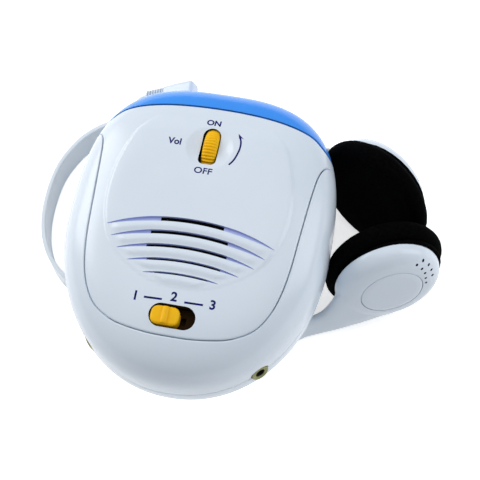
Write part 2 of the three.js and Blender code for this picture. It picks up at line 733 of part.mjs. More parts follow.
// Headset plug: pin, moulded angle head and ribbed strain relief
const plugGroup = new THREE.Group();
unit.add(plugGroup);
const axis = new THREE.Vector3(...plugAxis);
const pinPlace = new THREE.Vector3(...plugBase);
const pinProfile = [
  [0, -socketDepth + 1], [0.9, -socketDepth + 1.4], [1.4, -socketDepth + 2.6], [1.1, -socketDepth + 3.8],
  [socketRadius - running, -socketDepth + 4.6], [socketRadius - running, 0.6], [0, 0.6],
];
addPiece(plugGroup, 'plug_pin', aimed(turned(pinProfile, 12), pinPlace.toArray(), plugAxis), brass);
const level = new THREE.Vector3(plugAxis[1], -plugAxis[0], 0).negate();
const dip = degrees(plugDip);
const plugRun = level.clone().multiplyScalar(Math.cos(dip)).add(new THREE.Vector3(0, 0, -Math.sin(dip)));
const headPlace = pinPlace.clone().addScaledVector(axis, plugStandOff + 0.9);
const headSide = new THREE.Vector3().crossVectors(plugRun, axis);

// A box with its long edges taken off, carried along the plug's run.
function plugBar(width, depth, start, end, corner) {
  const half = [width / 2, depth / 2];
  const outline = [
    [half[0] - corner, -half[1]], [half[0], -half[1] + corner], [half[0], half[1] - corner],
    [half[0] - corner, half[1]], [-half[0] + corner, half[1]], [-half[0], half[1] - corner],
    [-half[0], -half[1] + corner], [-half[0] + corner, -half[1]],
  ];
  const frame = new THREE.Matrix4()
    .makeBasis(headSide, axis.clone().negate(), plugRun)
    .setPosition(headPlace);
  return prism(outline, start, end).applyMatrix4(frame);
}
const headDepth = 2 * plugStandOff - 0.4;
addPiece(plugGroup, 'plug_head', join(
  solid(plugBar(plugWidth, headDepth, -plugWidth / 2, plugLength - plugWidth / 2, 1.4)),
  solid(aimed(post(0, 0, 2.6, 0.9, plugStandOff, 20), pinPlace.toArray(), plugAxis)),
), white);
const reliefStart = plugLength - plugWidth / 2 + 0.02;
const reliefRibs = 6;
const reliefProfile = [[0, reliefStart], [reliefRadius, reliefStart]];
for (let rib = 0; rib < reliefRibs; rib += 1) {
  const rise = reliefStart + ((rib + 0.35) / reliefRibs) * reliefLength;
  const radius = THREE.MathUtils.lerp(reliefRadius, reliefEndRadius, rib / (reliefRibs - 1));
  reliefProfile.push([radius, rise], [radius - 0.5, rise + 0.15], [radius - 0.35, rise + 0.6]);
}
reliefProfile.push([cordRadius + 0.6, reliefStart + reliefLength], [0, reliefStart + reliefLength]);
const relief = aimed(turned(reliefProfile, 10), headPlace.toArray(), plugRun.toArray());
addPiece(plugGroup, 'plug_relief', relief, white);

// Headband: a web with a raised rim along both edges, and a sleeve at each end for an arm
const nearY = bandAxisY - armHalfSpread;
const farY = bandAxisY + armHalfSpread;
const nearLine = [
  [bandEnd, nearY], [0, nearY], [-18, nearY], [-38, nearY + 0.3], [-50, nearY + 3.2], [-58.5, nearY + 9.6],
  [-64, nearY + 18.2], [bandBack + 0.6, nearY + 28.2], [bandBack, bandAxisY + 1],
];
const farLine = [
  [-66.2, farY - 26.7], [-62.6, farY - 17.5], [-57.4, farY - 10], [-49.6, farY - 4.2], [-38, farY - 1],
  [-18, farY], [0, farY], [bandEnd, farY],
];
const bandLine = smoothLine([...nearLine, ...farLine], 29);
const bandSlab = (thickness, low, high) => {
  const inside = offsetLine(bandLine, thickness / 2);
  const outside = offsetLine(bandLine, -thickness / 2).toReversed();
  return solid(prism([...inside, ...outside], low, high));
};
const middleLevel = bandHeight / 2;
const sleeves = [nearY, farY].map((y) => solid(block(
  [bandEnd - sleeveLength, y - sleeveThickness / 2, bandRimHeight / 2],
  [bandEnd + 0.4, y + sleeveThickness / 2, bandHeight - bandRimHeight / 2],
)));
const sleeveSlots = [nearY, farY].map((y) => solid(block(
  [bandEnd - stripInside - 2, y - stripThickness / 2 - fit, middleLevel - stripHeight / 2 - fit],
  [bandEnd + 2, y + stripThickness / 2 + fit, middleLevel + stripHeight / 2 + fit],
)));
const headband = cut(
  join(
    bandSlab(bandWeb, 0.2, bandHeight - 0.2),
    bandSlab(bandRim, 0, bandRimHeight),
    bandSlab(bandRim, bandHeight - bandRimHeight, bandHeight),
    ...sleeves,
  ),
  ...sleeveSlots,
);
addPiece(root, 'headband', headband, white);

// Cups. A cup's own +Z points out of its dome and its +Y is its upright; the arm runs to one side.
function cupFrame({ beyondCase, y, turn, lean }) {
  const about = degrees(turn);
  const tilt = degrees(lean);
  const outward = new THREE.Vector3(
    Math.cos(about) * Math.cos(tilt), Math.sin(about) * Math.cos(tilt), Math.sin(tilt),
  );
  const across = new THREE.Vector3().crossVectors(new THREE.Vector3(0, 0, 1), outward).normalize();
  const upright = new THREE.Vector3().crossVectors(outward, across);
  const rise = padRadius * upright.z + (padThickness + 1.8) * Math.max(outward.z, 0) + cupStandOff;
  return new THREE.Matrix4()
    .makeBasis(across, upright, outward)
    .setPosition(caseHalfWidth + beyondCase, y, rise);
}

function cupShell(cup, frame, armY) {
  const { side, tail } = cup;
  const centre = new THREE.Vector3().setFromMatrixPosition(frame);
  const upright = new THREE.Vector3().setFromMatrixColumn(frame, 1);
  const outward = new THREE.Vector3().setFromMatrixColumn(frame, 2);
  const drop = (middleLevel - centre.z - neckMiddle * outward.z) / upright.z;
  const [top, bottom] = [drop + neckHalf, drop - neckHalf];
  const flare = [[1, 0], [0.7, -0.04], [0.47, 0.1], [0.28, 0.4], [0.13, 1]].map(([out, up]) => [
    THREE.MathUtils.lerp(shellRadius, tail, out), THREE.MathUtils.lerp(top, -0.2 * shellRadius, up),
  ]);
  const outline = [
    ...flare, [shellRadius * 0.98, 1], [shellRadius * 0.8, 9], [0, 12], [-12, 6], [-14, -6],
    [0, 0.4 - shellRadius], [shellRadius * 0.5, THREE.MathUtils.lerp(-shellRadius, bottom, 0.25)],
    [shellRadius * 0.8, THREE.MathUtils.lerp(-shellRadius, bottom, 0.55)],
    [shellRadius * 1.2, THREE.MathUtils.lerp(-shellRadius, bottom, 0.85)], [tail, bottom],
  ].map(([x, y]) => [side * x, y]);
  const neck = solid(prism(outline, neckMiddle - neckThickness / 2, neckMiddle + neckThickness / 2));
  const outer = turned([
    [0, 0], [shellRadius, 0], [shellRadius, 1.6], [shellRadius * 0.97, 3.4], [shellRadius * 0.88, 5.6],
    [shellRadius * 0.75, 7.1], [capRadius, shellDepth - 0.4], [0, shellDepth],
  ], 24);
  const inner = turned([
    [0, -1], [shellRadius - shellWall, -1], [shellRadius - shellWall, 1.4], [shellRadius * 0.8, 3.6],
    [capRadius, shellDepth - shellWall - capThickness], [0, shellDepth - shellWall - capThickness],
  ], 16);
  const seat = turned([
    [0, shellDepth - capThickness - 0.3], [capRadius + fit, shellDepth - capThickness - 0.3],
    [capRadius + fit, shellDepth + 2], [0, shellDepth + 2],
  ], 20);
  const vents = [];
  for (let row = 0; row < 3; row += 1) {
    for (let hole = 0; hole < 3; hole += 1) {
      const angle = Math.PI + degrees((hole - 1) * 13 + (row - 1) * 5);
      const distance = shellRadius * (0.695 + row * 0.105);
      const [x, y] = [side * distance * Math.cos(angle), distance * Math.sin(angle)];
      vents.push(solid(post(x, y, 0.5, -2, 12, 5)));
    }
  }
  const shell = cut(join(cut(solid(outer), solid(inner)), cut(neck, solid(inner))), solid(seat), ...vents);
  const tip = new THREE.Vector3(side * (tail - 1.6), drop, neckMiddle).applyMatrix4(frame);
  const strip = solid(block(
    [bandEnd - stripInside, armY - stripThickness / 2, middleLevel - stripHeight / 2],
    [tip.x, armY + stripThickness / 2, middleLevel + stripHeight / 2],
  ));
  const knuckle = [
    [tip.x - 2.2, armY], [tip.x - 0.4, armY - 1.6], [tip.x + 1.6, tip.y - 1.8], [tip.x + 3, tip.y],
    [tip.x + 1.4, tip.y + 1.8], [tip.x - 0.4, armY + 1.6],
  ];
  const bridge = solid(prism(knuckle, 0.9, bandHeight - 0.8));
  return join(solid(geometryOf(shell).applyMatrix4(frame)), strip, bridge);
}

// A foam pad: a crowned face, a full round edge and a drawn-in back.
function padGeometry() {
  const profile = [[0, 0], [padRadius * 0.94, 0], [padRadius * 0.99, 0.7]];
  const bulge = padThickness * 0.48;
  for (let step = 0; step <= 6; step += 1) {
    const angle = -0.2 + (step / 6) * (Math.PI / 2 + 0.2);
    const radius = padRadius - bulge + bulge * Math.cos(angle);
    profile.push([radius, padThickness * 0.5 + bulge * Math.sin(angle)]);
  }
  profile.push([padRadius * 0.55, padThickness - 0.05], [padRadius * 0.28, padThickness - 0.5]);
  profile.push([0, padThickness - 0.8]);
  return turned(profile, 24).rotateX(Math.PI).translate(0, 0, -baffleThickness - 0.6);
}

[['near', nearCup, nearY], ['far', farCup, farY]].forEach(([name, cup, armY]) => {
  const frame = cupFrame(cup);
  const place = (geometry) => geometry.applyMatrix4(frame);
  addPiece(root, `${name}_cup_shell`, cupShell(cup, frame, armY), white);
  const capLow = shellDepth - capThickness;
  addPiece(root, `${name}_cup_cap`, place(turned([
    [0, capLow], [capRadius, capLow], [capRadius, shellDepth - 0.3], [capRadius * 0.6, shellDepth + 0.1],
    [0, shellDepth + 0.2],
  ], 20)), white);
  const baffle = post(0, 0, shellRadius - 0.4, -baffleThickness - 0.3, -0.3, 32);
  addPiece(root, `${name}_baffle`, place(baffle), black);
  addPiece(root, `${name}_driver`, place(post(0, 0, driverRadius, 0, driverDepth, 28)), steel);
  addPiece(root, `${name}_pad`, place(padGeometry()), foam);
});

// Cord: from the plug over the band to the coil, and from the coil to a gland on the far sleeve
const cordPoints = (points) => points.map(([x, y, z]) => new THREE.Vector3(x, y, z));

function cordTube(points, steps) {
  const section = new THREE.Shape();
  for (let side = 0; side < 8; side += 1) {
    const angle = (side / 8) * Math.PI * 2;
    const corner = [cordRadius * Math.cos(angle), cordRadius * Math.sin(angle)];
    if (side === 0) section.moveTo(...corner);
    else section.lineTo(...corner);
  }
  const path = new THREE.CatmullRomCurve3(cordPoints(points), false, 'centripetal');
  const geometry = new THREE.ExtrudeGeometry(section, { steps, extrudePath: path });
  return { geometry, length: path.getLength() };
}

const coilLevel = coilLift + cordRadius;
const coilTop = coilLevel + (coilLayers - 1) * coilPitch;
const coilOuter = coilMiddleRadius + (coilRings / 2) * coilPitch;
const coilInner = coilMiddleRadius - (coilRings / 2) * coilPitch;
const reliefEnd = headPlace.clone().addScaledVector(plugRun, reliefStart + reliefLength + fit);
reliefEnd.z += seamLevel;
const reliefStub = reliefEnd.clone().addScaledVector(plugRun, 2.4);
const coilLeft = coilX - coilOuter;
const plugCordRoute = [
  reliefEnd.toArray(), reliefStub.toArray(),
  [-37.5, 57.1, 26.6], [-38.5, 55.3, 24.9], [-38.9, 53.1, 22.6], [-39.1, 51.3, 19.9], [-39.3, 50, 17],
  [-39.6, 48.6, 14.3], [coilLeft + 0.7, coilY + 9.4, coilTop + 2.9],
  [coilLeft + 0.2, coilY + 6.9, coilTop + 1.3], [coilLeft, coilY + 4.4, coilTop + 0.3],
  [coilLeft, coilY + 2.4, coilTop], [coilLeft, coilY + fit, coilTop],
];
const plugCord = cordTube(plugCordRoute, 24);
addPiece(root, 'cord_from_plug', plugCord.geometry, white);

// The coil: loops that spiral in on one layer and out on the next, sinking a layer in half a turn.
const stepsPerLoop = 24;
function coilPoint(turn) {
  const layer = Math.min(Math.floor(turn / coilRings), coilLayers - 1);
  const within = turn - layer * coilRings;
  const drift = layer % 2 === 0 ? within : coilRings - within;
  const radius = coilOuter - drift * coilPitch;
  let depth = layer;
  if (layer > 0 && within < 0.25) depth = layer - 0.5 + within * 2;
  if (layer < coilLayers - 1 && within > coilRings - 0.25) depth = layer + (within - coilRings + 0.25) * 2;
  const angle = Math.PI + turn * Math.PI * 2;
  return new THREE.Vector3(
    coilX + radius * Math.cos(angle), coilY + radius * Math.sin(angle), coilTop - depth * coilPitch,
  );
}
const coilEndTurn = coilRings * coilLayers - 0.5;
const coilSteps = Math.round(coilEndTurn * stepsPerLoop);
const coilPath = Array.from(
  { length: coilSteps + 1 },
  (_, step) => coilPoint((step / coilSteps) * coilEndTurn),
);

// One closed tube of six sides along a list of points, its ends square to the run.
function tubeAlong(points, radius, sides = 6) {
  const positions = [];
  const index = [];
  points.forEach((point, at) => {
    const after = points[Math.min(at + 1, points.length - 1)];
    const ahead = after.clone().sub(points[Math.max(at - 1, 0)]).normalize();
    const sideways = new THREE.Vector3().crossVectors(ahead, new THREE.Vector3(0, 0, 1)).normalize();
    const above = new THREE.Vector3().crossVectors(sideways, ahead);
    for (let side = 0; side < sides; side += 1) {
      const angle = (side / sides) * Math.PI * 2;
      const spot = point.clone().addScaledVector(sideways, radius * Math.cos(angle));
      spot.addScaledVector(above, radius * Math.sin(angle));
      positions.push(...spot.toArray());
    }
  });
  const last = (points.length - 1) * sides;
  for (let side = 0; side < sides; side += 1) {
    const next = (side + 1) % sides;
    for (let at = 0; at < last; at += sides) {
      index.push(at + side, at + sides + next, at + next, at + side, at + sides + side, at + sides + next);
    }
    if (side > 0 && side < sides - 1) index.push(0, side, side + 1, last, last + side + 1, last + side);
  }
  const geometry = new THREE.BufferGeometry();
  geometry.setAttribute('position', new THREE.Float32BufferAttribute(positions, 3));
  geometry.setIndex(index);
  return geometry;
}
addPiece(root, 'cord_coil', tubeAlong(coilPath, cordRadius), white);

// Least distance between stretches of the coil that aren't neighbours along it, less the cord itself.
let coilGap = Infinity;
let coilLength = 0;
coilPath.forEach((point, at) => {
  if (at > 0) coilLength += point.distanceTo(coilPath[at - 1]);
  for (let other = at + stepsPerLoop / 2; other < coilPath.length; other += 1) {
    coilGap = Math.min(coilGap, point.distanceTo(coilPath[other]) - 2 * cordRadius);
  }
});

const coilHeight = (coilLayers - 1) * coilPitch + 2 * cordRadius;
const coilEnd = coilPoint(coilEndTurn);
const glandLevel = middleLevel;
const glandOut = farY - sleeveThickness / 2;
const glandLength = 4.6;
const glandRadius = 2.4;
const gland = turned([
  [0, 0.02], [glandRadius, 0.02], [glandRadius, 1], [glandRadius - 0.5, 1.4],
  [cordRadius + 0.4, glandLength], [0, glandLength],
], 12);
addPiece(root, 'cord_gland', aimed(gland, [coilEnd.x, glandOut, glandLevel], [0, -1, 0]), white);
const glandEnd = glandOut - glandLength - fit;
const bandCordRoute = [
  [coilEnd.x, coilEnd.y + fit, coilLevel], [coilEnd.x, coilEnd.y + 2.4, coilLevel],
  [coilEnd.x, coilEnd.y + 5.6, coilLevel + 0.7], [coilEnd.x, glandEnd - 4.4, glandLevel - 1.2],
  [coilEnd.x, glandEnd - 2.2, glandLevel], [coilEnd.x, glandEnd, glandLevel],
];
const bandCord = cordTube(bandCordRoute, 10);
addPiece(root, 'cord_to_band', bandCord.geometry, white);

// A tie round the coil's cross-section, on the side towards the near arm
const tieSlack = 0.25;
const tieNear = coilY - coilOuter - cordRadius - tieSlack;
const tieFar = coilY - coilInner + cordRadius + tieSlack;
const tieTop = coilTop + cordRadius + tieSlack;
const tie = cut(
  solid(block(
    [coilX - tieWidth / 2, tieNear - tieThickness, 0],
    [coilX + tieWidth / 2, tieFar + tieThickness, tieTop + tieThickness],
  )),
  solid(block([coilX - tieWidth, tieNear, tieThickness], [coilX + tieWidth, tieFar, tieTop])),
);
addPiece(root, 'coil_tie', tie, black);

const wholeLength = plugCord.length + coilLength + bandCord.length;
console.log(`coil: ${coilHeight.toFixed(1)} mm high, least gap to itself ${coilGap.toFixed(2)} mm`);
console.log(`cord: ${wholeLength.toFixed(0)} mm, of which ${coilLength.toFixed(0)} mm in the coil`);

// The origin is the middle of the base of everything but the cord and what is on it.
const onCord = [
  'cord_from_plug', 'cord_coil', 'cord_to_band', 'coil_tie', 'plug_pin', 'plug_head', 'plug_relief',
];
root.updateMatrixWorld(true);
const extent = new THREE.Box3();
root.traverse((piece) => {
  if (piece.isMesh && !onCord.includes(piece.name)) extent.expandByObject(piece, true);
});
const middle = extent.getCenter(new THREE.Vector3());
root.position.set(-middle.x, -middle.y, -extent.min.z);

const part = new THREE.Group();
part.add(root);

export default part;
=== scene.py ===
"""Looks of a portable doppler with its headset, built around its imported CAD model.

Lengths are in millimetres and go into Blender in metres. The case is worked out in its own frame,
whose origin is the middle of its seam, and everything else in the frame of the table.
"""

import bmesh
import bpy
import numpy as np
from mathutils import Matrix, Vector


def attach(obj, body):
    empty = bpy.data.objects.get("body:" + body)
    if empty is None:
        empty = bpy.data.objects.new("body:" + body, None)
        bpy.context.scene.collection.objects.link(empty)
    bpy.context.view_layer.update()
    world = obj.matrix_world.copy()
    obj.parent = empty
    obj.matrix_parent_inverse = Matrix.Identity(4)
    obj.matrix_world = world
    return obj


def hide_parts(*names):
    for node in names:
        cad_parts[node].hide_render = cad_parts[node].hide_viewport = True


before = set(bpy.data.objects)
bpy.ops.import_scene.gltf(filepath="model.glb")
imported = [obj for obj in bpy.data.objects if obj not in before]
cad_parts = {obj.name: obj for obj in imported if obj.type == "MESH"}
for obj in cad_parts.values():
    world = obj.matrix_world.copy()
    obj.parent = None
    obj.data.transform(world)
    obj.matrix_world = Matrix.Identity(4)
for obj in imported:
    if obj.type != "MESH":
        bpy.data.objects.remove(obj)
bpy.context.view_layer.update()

# Camera
# It stands where the photograph was taken from: high over the bottom end of the case and a little
# to its right, turned so that the case leans to the left. CASE is the middle of the case's seam.
MM = 0.001
CASE = np.array([-10.6032, -0.05, 34.8])
PAN, TILT, ROLL = np.radians([8.99, 21.38, 12.74])
DISTANCE = 519.9
FOCAL_PIXELS, PICTURE = 1400, 480
CASE_PIXEL = np.array([200.0, 241.75])


def unit(vector):
    """A direction divided by its length."""
    return np.asarray(vector, float) / np.linalg.norm(vector)


def placed(name, data):
    """An object of this data, in the scene."""
    made = bpy.data.objects.new(name, data)
    bpy.context.scene.collection.objects.link(made)
    return made


back = np.array([np.sin(PAN), -np.sin(TILT) * np.cos(PAN), np.cos(TILT) * np.cos(PAN)])
level = unit(np.cross([0, 1, 0], back))
upright = np.cross(back, level)
right = np.cos(ROLL) * level + np.sin(ROLL) * upright
above = np.cos(ROLL) * upright - np.sin(ROLL) * level
off_centre = (PICTURE / 2 - CASE_PIXEL) / FOCAL_PIXELS
aim = unit(back - off_centre[0] * right + off_centre[1] * above)
right = unit(right - aim * right.dot(aim))
above = np.cross(aim, right)
eye = (CASE + DISTANCE * back) * MM

camera = placed("camera", bpy.data.cameras.new("camera"))
camera.data.lens = camera.data.sensor_width * FOCAL_PIXELS / PICTURE
camera.data.clip_start = 0.01
camera.data.clip_end = 20
camera.matrix_world = Matrix(
    [[right[i], above[i], aim[i], eye[i]] for i in range(3)] + [[0, 0, 0, 1]]
)
bpy.context.scene.camera = camera

# Cord
# One round cord in a soft pale jacket, from the gland on the headband's far sleeve, through the coil
# that hides under the case, up the top end and into the plug's strain relief. It repeats the points
# of the CAD route.
TABLE = CASE * [1, 1, 0]
CORD_RADIUS = 1.0
COIL_X, COIL_Y, COIL_MIDDLE, COIL_PITCH, COIL_RINGS, COIL_LAYERS = -25, 37.3, 12, 2.45, 3, 4
COIL_LOW = 1.7
COIL_TOP = COIL_LOW + (COIL_LAYERS - 1) * COIL_PITCH
COIL_OUTER = COIL_MIDDLE + COIL_RINGS / 2 * COIL_PITCH
COIL_TURNS = COIL_RINGS * COIL_LAYERS - 0.5
COIL_SINK = 0.25
RELIEF_START, RELIEF_LENGTH, RELIEF_DROOP = 9.32, 8.8, 0.38
PLUG_OUT = 1.6
CORD_STEP = 1.2


def grain_group():
    """Two shades in soft patches, and a grain in roughness and bump, from noise on the object's own
    coordinates. The shade goes from dark to light as the noise goes from 0.35 to 0.65, and the
    roughness from 0.82 to 1.18 times its value, but no further than 1, as the grain goes from 0 to 1."""
    group = bpy.data.node_groups.new("patches_and_grain", "ShaderNodeTree")
    for name, kind in (("Light", "Color"), ("Dark", "Color"), ("Patch Scale", "Float"),
                       ("Grain Scale", "Float"), ("Roughness", "Float"), ("Bump Strength", "Float"),
                       ("Bump Distance", "Float")):
        group.interface.new_socket(name, in_out="INPUT", socket_type=f"NodeSocket{kind}")
    for name, kind in (("Color", "Color"), ("Roughness", "Float"), ("Normal", "Vector")):
        group.interface.new_socket(name, in_out="OUTPUT", socket_type=f"NodeSocket{kind}")
    nodes = group.nodes
    given, result = nodes.new("NodeGroupInput").outputs, nodes.new("NodeGroupOutput").inputs
    place = nodes.new("ShaderNodeTexCoord")
    patches, grains = nodes.new("ShaderNodeTexNoise"), nodes.new("ShaderNodeTexNoise")
    patches.inputs["Detail"].default_value = 3
    grains.inputs["Detail"].default_value = 4
    stretch, spread = nodes.new("ShaderNodeMapRange"), nodes.new("ShaderNodeMapRange")
    stretch.inputs["From Min"].default_value = 0.35
    stretch.inputs["From Max"].default_value = 0.65
    shades = nodes.new("ShaderNodeMix")
    shades.data_type = "RGBA"
    smoother, rougher = nodes.new("ShaderNodeMath"), nodes.new("ShaderNodeMath")
    for scaled, share in ((smoother, 0.82), (rougher, 1.18)):
        scaled.operation = "MULTIPLY"
        scaled.use_clamp = True
        scaled.inputs[1].default_value = share
    relief = nodes.new("ShaderNodeBump")
    for source, target in (
        (given["Patch Scale"], patches.inputs["Scale"]),
        (given["Grain Scale"], grains.inputs["Scale"]),
        (place.outputs["Object"], patches.inputs["Vector"]),
        (place.outputs["Object"], grains.inputs["Vector"]),
        (patches.outputs["Fac"], stretch.inputs["Value"]),
        (stretch.outputs["Result"], shades.inputs[0]),
        (given["Dark"], shades.inputs[6]),
        (given["Light"], shades.inputs[7]),
        (given["Roughness"], smoother.inputs[0]),
        (given["Roughness"], rougher.inputs[0]),
        (smoother.outputs[0], spread.inputs["To Min"]),
        (rougher.outputs[0], spread.inputs["To Max"]),
        (grains.outputs["Fac"], spread.inputs["Value"]),
        (given["Bump Strength"], relief.inputs["Strength"]),
        (given["Bump Distance"], relief.inputs["Distance"]),
        (grains.outputs["Fac"], relief.inputs["Height"]),
        (shades.outputs[2], result["Color"]),
        (spread.outputs["Result"], result["Roughness"]),
        (relief.outputs["Normal"], result["Normal"]),
    ):
        group.links.new(source, target)
    return group


PATCHES_AND_GRAIN = grain_group()


def surface(name, light, dark, roughness, patch=45, grain=1500, bump=0.015, depth=0.00005, **sockets):
    """A material with the group's patches and grain at its own values, and constants on its shader."""
    made = bpy.data.materials.new(name)
    made.use_nodes = True
    made.diffuse_color = (*light, 1)
    tree = made.node_tree
    shader = tree.nodes["Principled BSDF"]
    grained = tree.nodes.new("ShaderNodeGroup")
    grained.node_tree = PATCHES_AND_GRAIN
    for socket, value in {
        "Light": (*light, 1), "Dark": (*dark, 1), "Patch Scale": patch, "Grain Scale": grain,
        "Roughness": roughness, "Bump Strength": bump, "Bump Distance": depth,
    }.items():
        grained.inputs[socket].default_value = value
    for output, socket in (("Color", "Base Color"), ("Roughness", "Roughness"), ("Normal", "Normal")):
        tree.links.new(grained.outputs[output], shader.inputs[socket])
    for socket, value in sockets.items():
        shader.inputs[socket.replace("_", " ")].default_value = value
    return made


def through(points, spacing):
    """A smooth line through points, sampled at about one spacing. Each span is a cubic whose slope
    at a point is half the step between that point's two neighbours."""
    points = np.asarray(points, float)
    ends = np.vstack([2 * points[0] - points[1], points, 2 * points[-1] - points[-2]])
    spans = []
    for a, b, c, d in zip(ends, ends[1:], ends[2:], ends[3:]):
        steps = max(int(np.linalg.norm(c - b) / spacing), 1)
        t = (np.arange(steps) / steps)[:, None]
        spans.append(0.5 * (2 * b + (c - a) * t + (2 * a - 5 * b + 4 * c - d) * t**2
                            + (3 * b - a - 3 * c + d) * t**3))
    return np.vstack([*spans, points[-1:]])


def coil(turns):
    """The coil's places at these turns. The loops spiral in on one layer and out on the next, and
    sink a layer in the half turn round each change."""
    layer = np.minimum(turns // COIL_RINGS, COIL_LAYERS - 1)
    ring = turns - layer * COIL_RINGS
    radius = COIL_OUTER - np.where(layer % 2 == 0, ring, COIL_RINGS - ring) * COIL_PITCH
    first = (layer > 0) & (ring < COIL_SINK)
    last = (layer < COIL_LAYERS - 1) & (ring > COIL_RINGS - COIL_SINK)
    depth = layer + first * 2 * (ring - COIL_SINK) + last * 2 * (ring - COIL_RINGS + COIL_SINK)
    angle = np.pi * (1 + 2 * turns)
    return np.stack([
        COIL_X + radius * np.cos(angle), COIL_Y + radius * np.sin(angle), COIL_TOP - depth * COIL_PITCH,
    ], 1)


plug_turn, plug_dip = np.radians([98, 21])
plug_axis = np.array([np.cos(plug_turn), np.sin(plug_turn), 0])
plug_run = np.array([-plug_axis[1], plug_axis[0], 0]) * np.cos(plug_dip) - [0, 0, np.sin(plug_dip)]
plug_base = np.array([-17, 55.11, 34.8])
plug_head_place = plug_base + 4.5 * plug_axis
relief_end = (plug_head_place + (RELIEF_START + RELIEF_LENGTH - 0.6) * plug_run
              + (PLUG_OUT + RELIEF_DROOP) * plug_axis)
coil_left = COIL_X - COIL_OUTER
plug_route = [
    relief_end, relief_end + 1.6 * plug_run, relief_end + 3.0 * plug_run - 0.5 * plug_axis,
    [-38.3, 57.0, 26.2], [-38.8, 55.2, 24.6], [-38.9, 53.1, 22.6], [-39.1, 51.3, 19.9], [-39.3, 50, 17],
    [-39.6, 48.6, 14.3], [coil_left + 0.7, COIL_Y + 9.4, COIL_TOP + 2.9],
    [coil_left + 0.2, COIL_Y + 6.9, COIL_TOP + 1.3], [coil_left, COIL_Y + 4.4, COIL_TOP + 0.3],
    [coil_left, COIL_Y + 2.4, COIL_TOP],
]
coil_route = coil(np.linspace(0, COIL_TURNS, int(COIL_TURNS * 40)))
end_x = coil_route[-1][0]
band_route = [
    [end_x, COIL_Y + 2.4, COIL_LOW], [end_x, COIL_Y + 5.6, COIL_LOW + 0.7],
    [end_x, 45.7, 5.8], [end_x, 47.9, 7], [end_x, 50.1, 7],
]
cord_line = np.vstack([
    through([*plug_route, coil_route[0]], CORD_STEP)[:-1], coil_route,
    through([coil_route[-1], *band_route], CORD_STEP)[1:],
])[::-1]
cord_points = (cord_line + TABLE) * MM
jacket = surface("cord_jacket", (0.70, 0.77, 0.85), (0.66, 0.73, 0.82), 0.42, patch=200, bump=0.1)

cord_curve = bpy.data.curves.new("headset_cord", "CURVE")
cord_curve.dimensions = "3D"
cord_curve.bevel_depth = CORD_RADIUS * MM
cord_curve.bevel_resolution = 3
cord_curve.use_fill_caps = True
spline = cord_curve.splines.new("POLY")
spline.points.add(len(cord_line) - 1)
spline.points.foreach_set("co", np.hstack([cord_points, np.ones((len(cord_line), 1))]).ravel())
spline.use_smooth = True
cord_curve.materials.append(jacket)
cord = placed("headset_cord", cord_curve)
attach(cord, "unit")
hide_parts("cord_from_plug", "cord_coil", "cord_to_band")

# Front panel
# The bib-shaped white moulding that carries the controls, cut out of a shell with a superellipse
# outline and a flat crown. A raised field, bars between the slots and a shallow dish for the
# thumbwheel are moulded in, and its lips are rounded.
HALF_WIDTH, TOP_LENGTH, BOTTOM_LENGTH = 48.4, 56.7, 59.3
TOP_FULLNESS, BOTTOM_FULLNESS = 2.95, 2.085
FRONT_HEIGHT, FRONT_FULLNESS = 24, 3.78
WALL, SEAM = 2.2, 0.36
STEEP_SHARE = 0.992
LIP, CAP_LIP = 0.5, 0.45
RAISED, RAISED_EDGE = 0.62, 1.5
FADE_TOP, FADE_TOP_LENGTH = 31, 9
FADE_LOW, FADE_LOW_LENGTH, FADE_LOW_SHARE = -22, 18, 0.25
DISH_RADIUS, DISH_DEPTH, DISH_Y = 9.0, 1.5, 27.4
SLOT_TOP, SLOT_PITCH, SLOT_BOW, SLOT_ENDS = -2.6, 4.95, 0.0057, (30.4, 27.9, 24.8, 20, 13.5)
BAR_CROWN, BAR_FADE, LAST_BAR_END, LAST_BAR_SHARE = 0.5, 4, 6, 0.8
TABLE_X, TABLE_Y, TABLE_STEP = (-50, 50), (-61, 59), 0.3
ARC_SHARE, ARC_BLEND, ARC_WIDEST = 0.9, 0.06, 0.6
SHARP = 35
LIP_STEPS, LIP_STEPS_FROM = np.array([0, 0.06, 0.14, 0.25, 0.4, 0.6, 0.85, 1.3, 1.9]), 14


def share_of(x, y, inset=0.0):
    """How far a place is from the case's middle, as a share of the way to the outline: the n-th root
    of (x / half width) to the n plus (y / length) to the n, with n the fullness of its end."""
    power = np.where(y > 0, TOP_FULLNESS, BOTTOM_FULLNESS)
    length = np.where(y > 0, TOP_LENGTH, BOTTOM_LENGTH) - inset
    across = np.maximum(np.abs(x), 1e-9) / (HALF_WIDTH - inset)
    return (across**power + (np.abs(y) / length) ** power) ** (1 / power)


def level_of(share, height=FRONT_HEIGHT, fullness=FRONT_FULLNESS):
    """Height of the shell: height times the n-th root of 1 less the share to the n."""
    return height * (1 - np.clip(share, 0, 1) ** fullness) ** (1 / fullness)


def eased(t):
    """From 0 to 1 with level ends: t squared times (3 - 2 t)."""
    t = np.clip(t, 0, 1)
    return t * t * (3 - 2 * t)


def lip(distance, radius=LIP):
    """How far a quarter-round lip has dropped at a distance from its edge."""
    rest = np.clip(1 - np.maximum(distance, 0) / radius, 0, 1)
    return radius * (1 - np.sqrt(np.clip(1 - rest**2, 0.0, 1)))


def distance_to(x, y, line):
    """The least distance from each place to the straight steps of a line."""
    flat = np.stack([np.ravel(x), np.ravel(y)], 1)
    best = np.full(len(flat), 1e9)
    for start, step in zip(line[:-1], np.diff(line, axis=0)):
        off = flat - start
        t = np.clip(off @ step / (step**2).sum(), 0, 1)
        best = np.minimum(best, ((off - t[:, None] * step) ** 2).sum(1))
    return np.sqrt(best).reshape(np.shape(x))


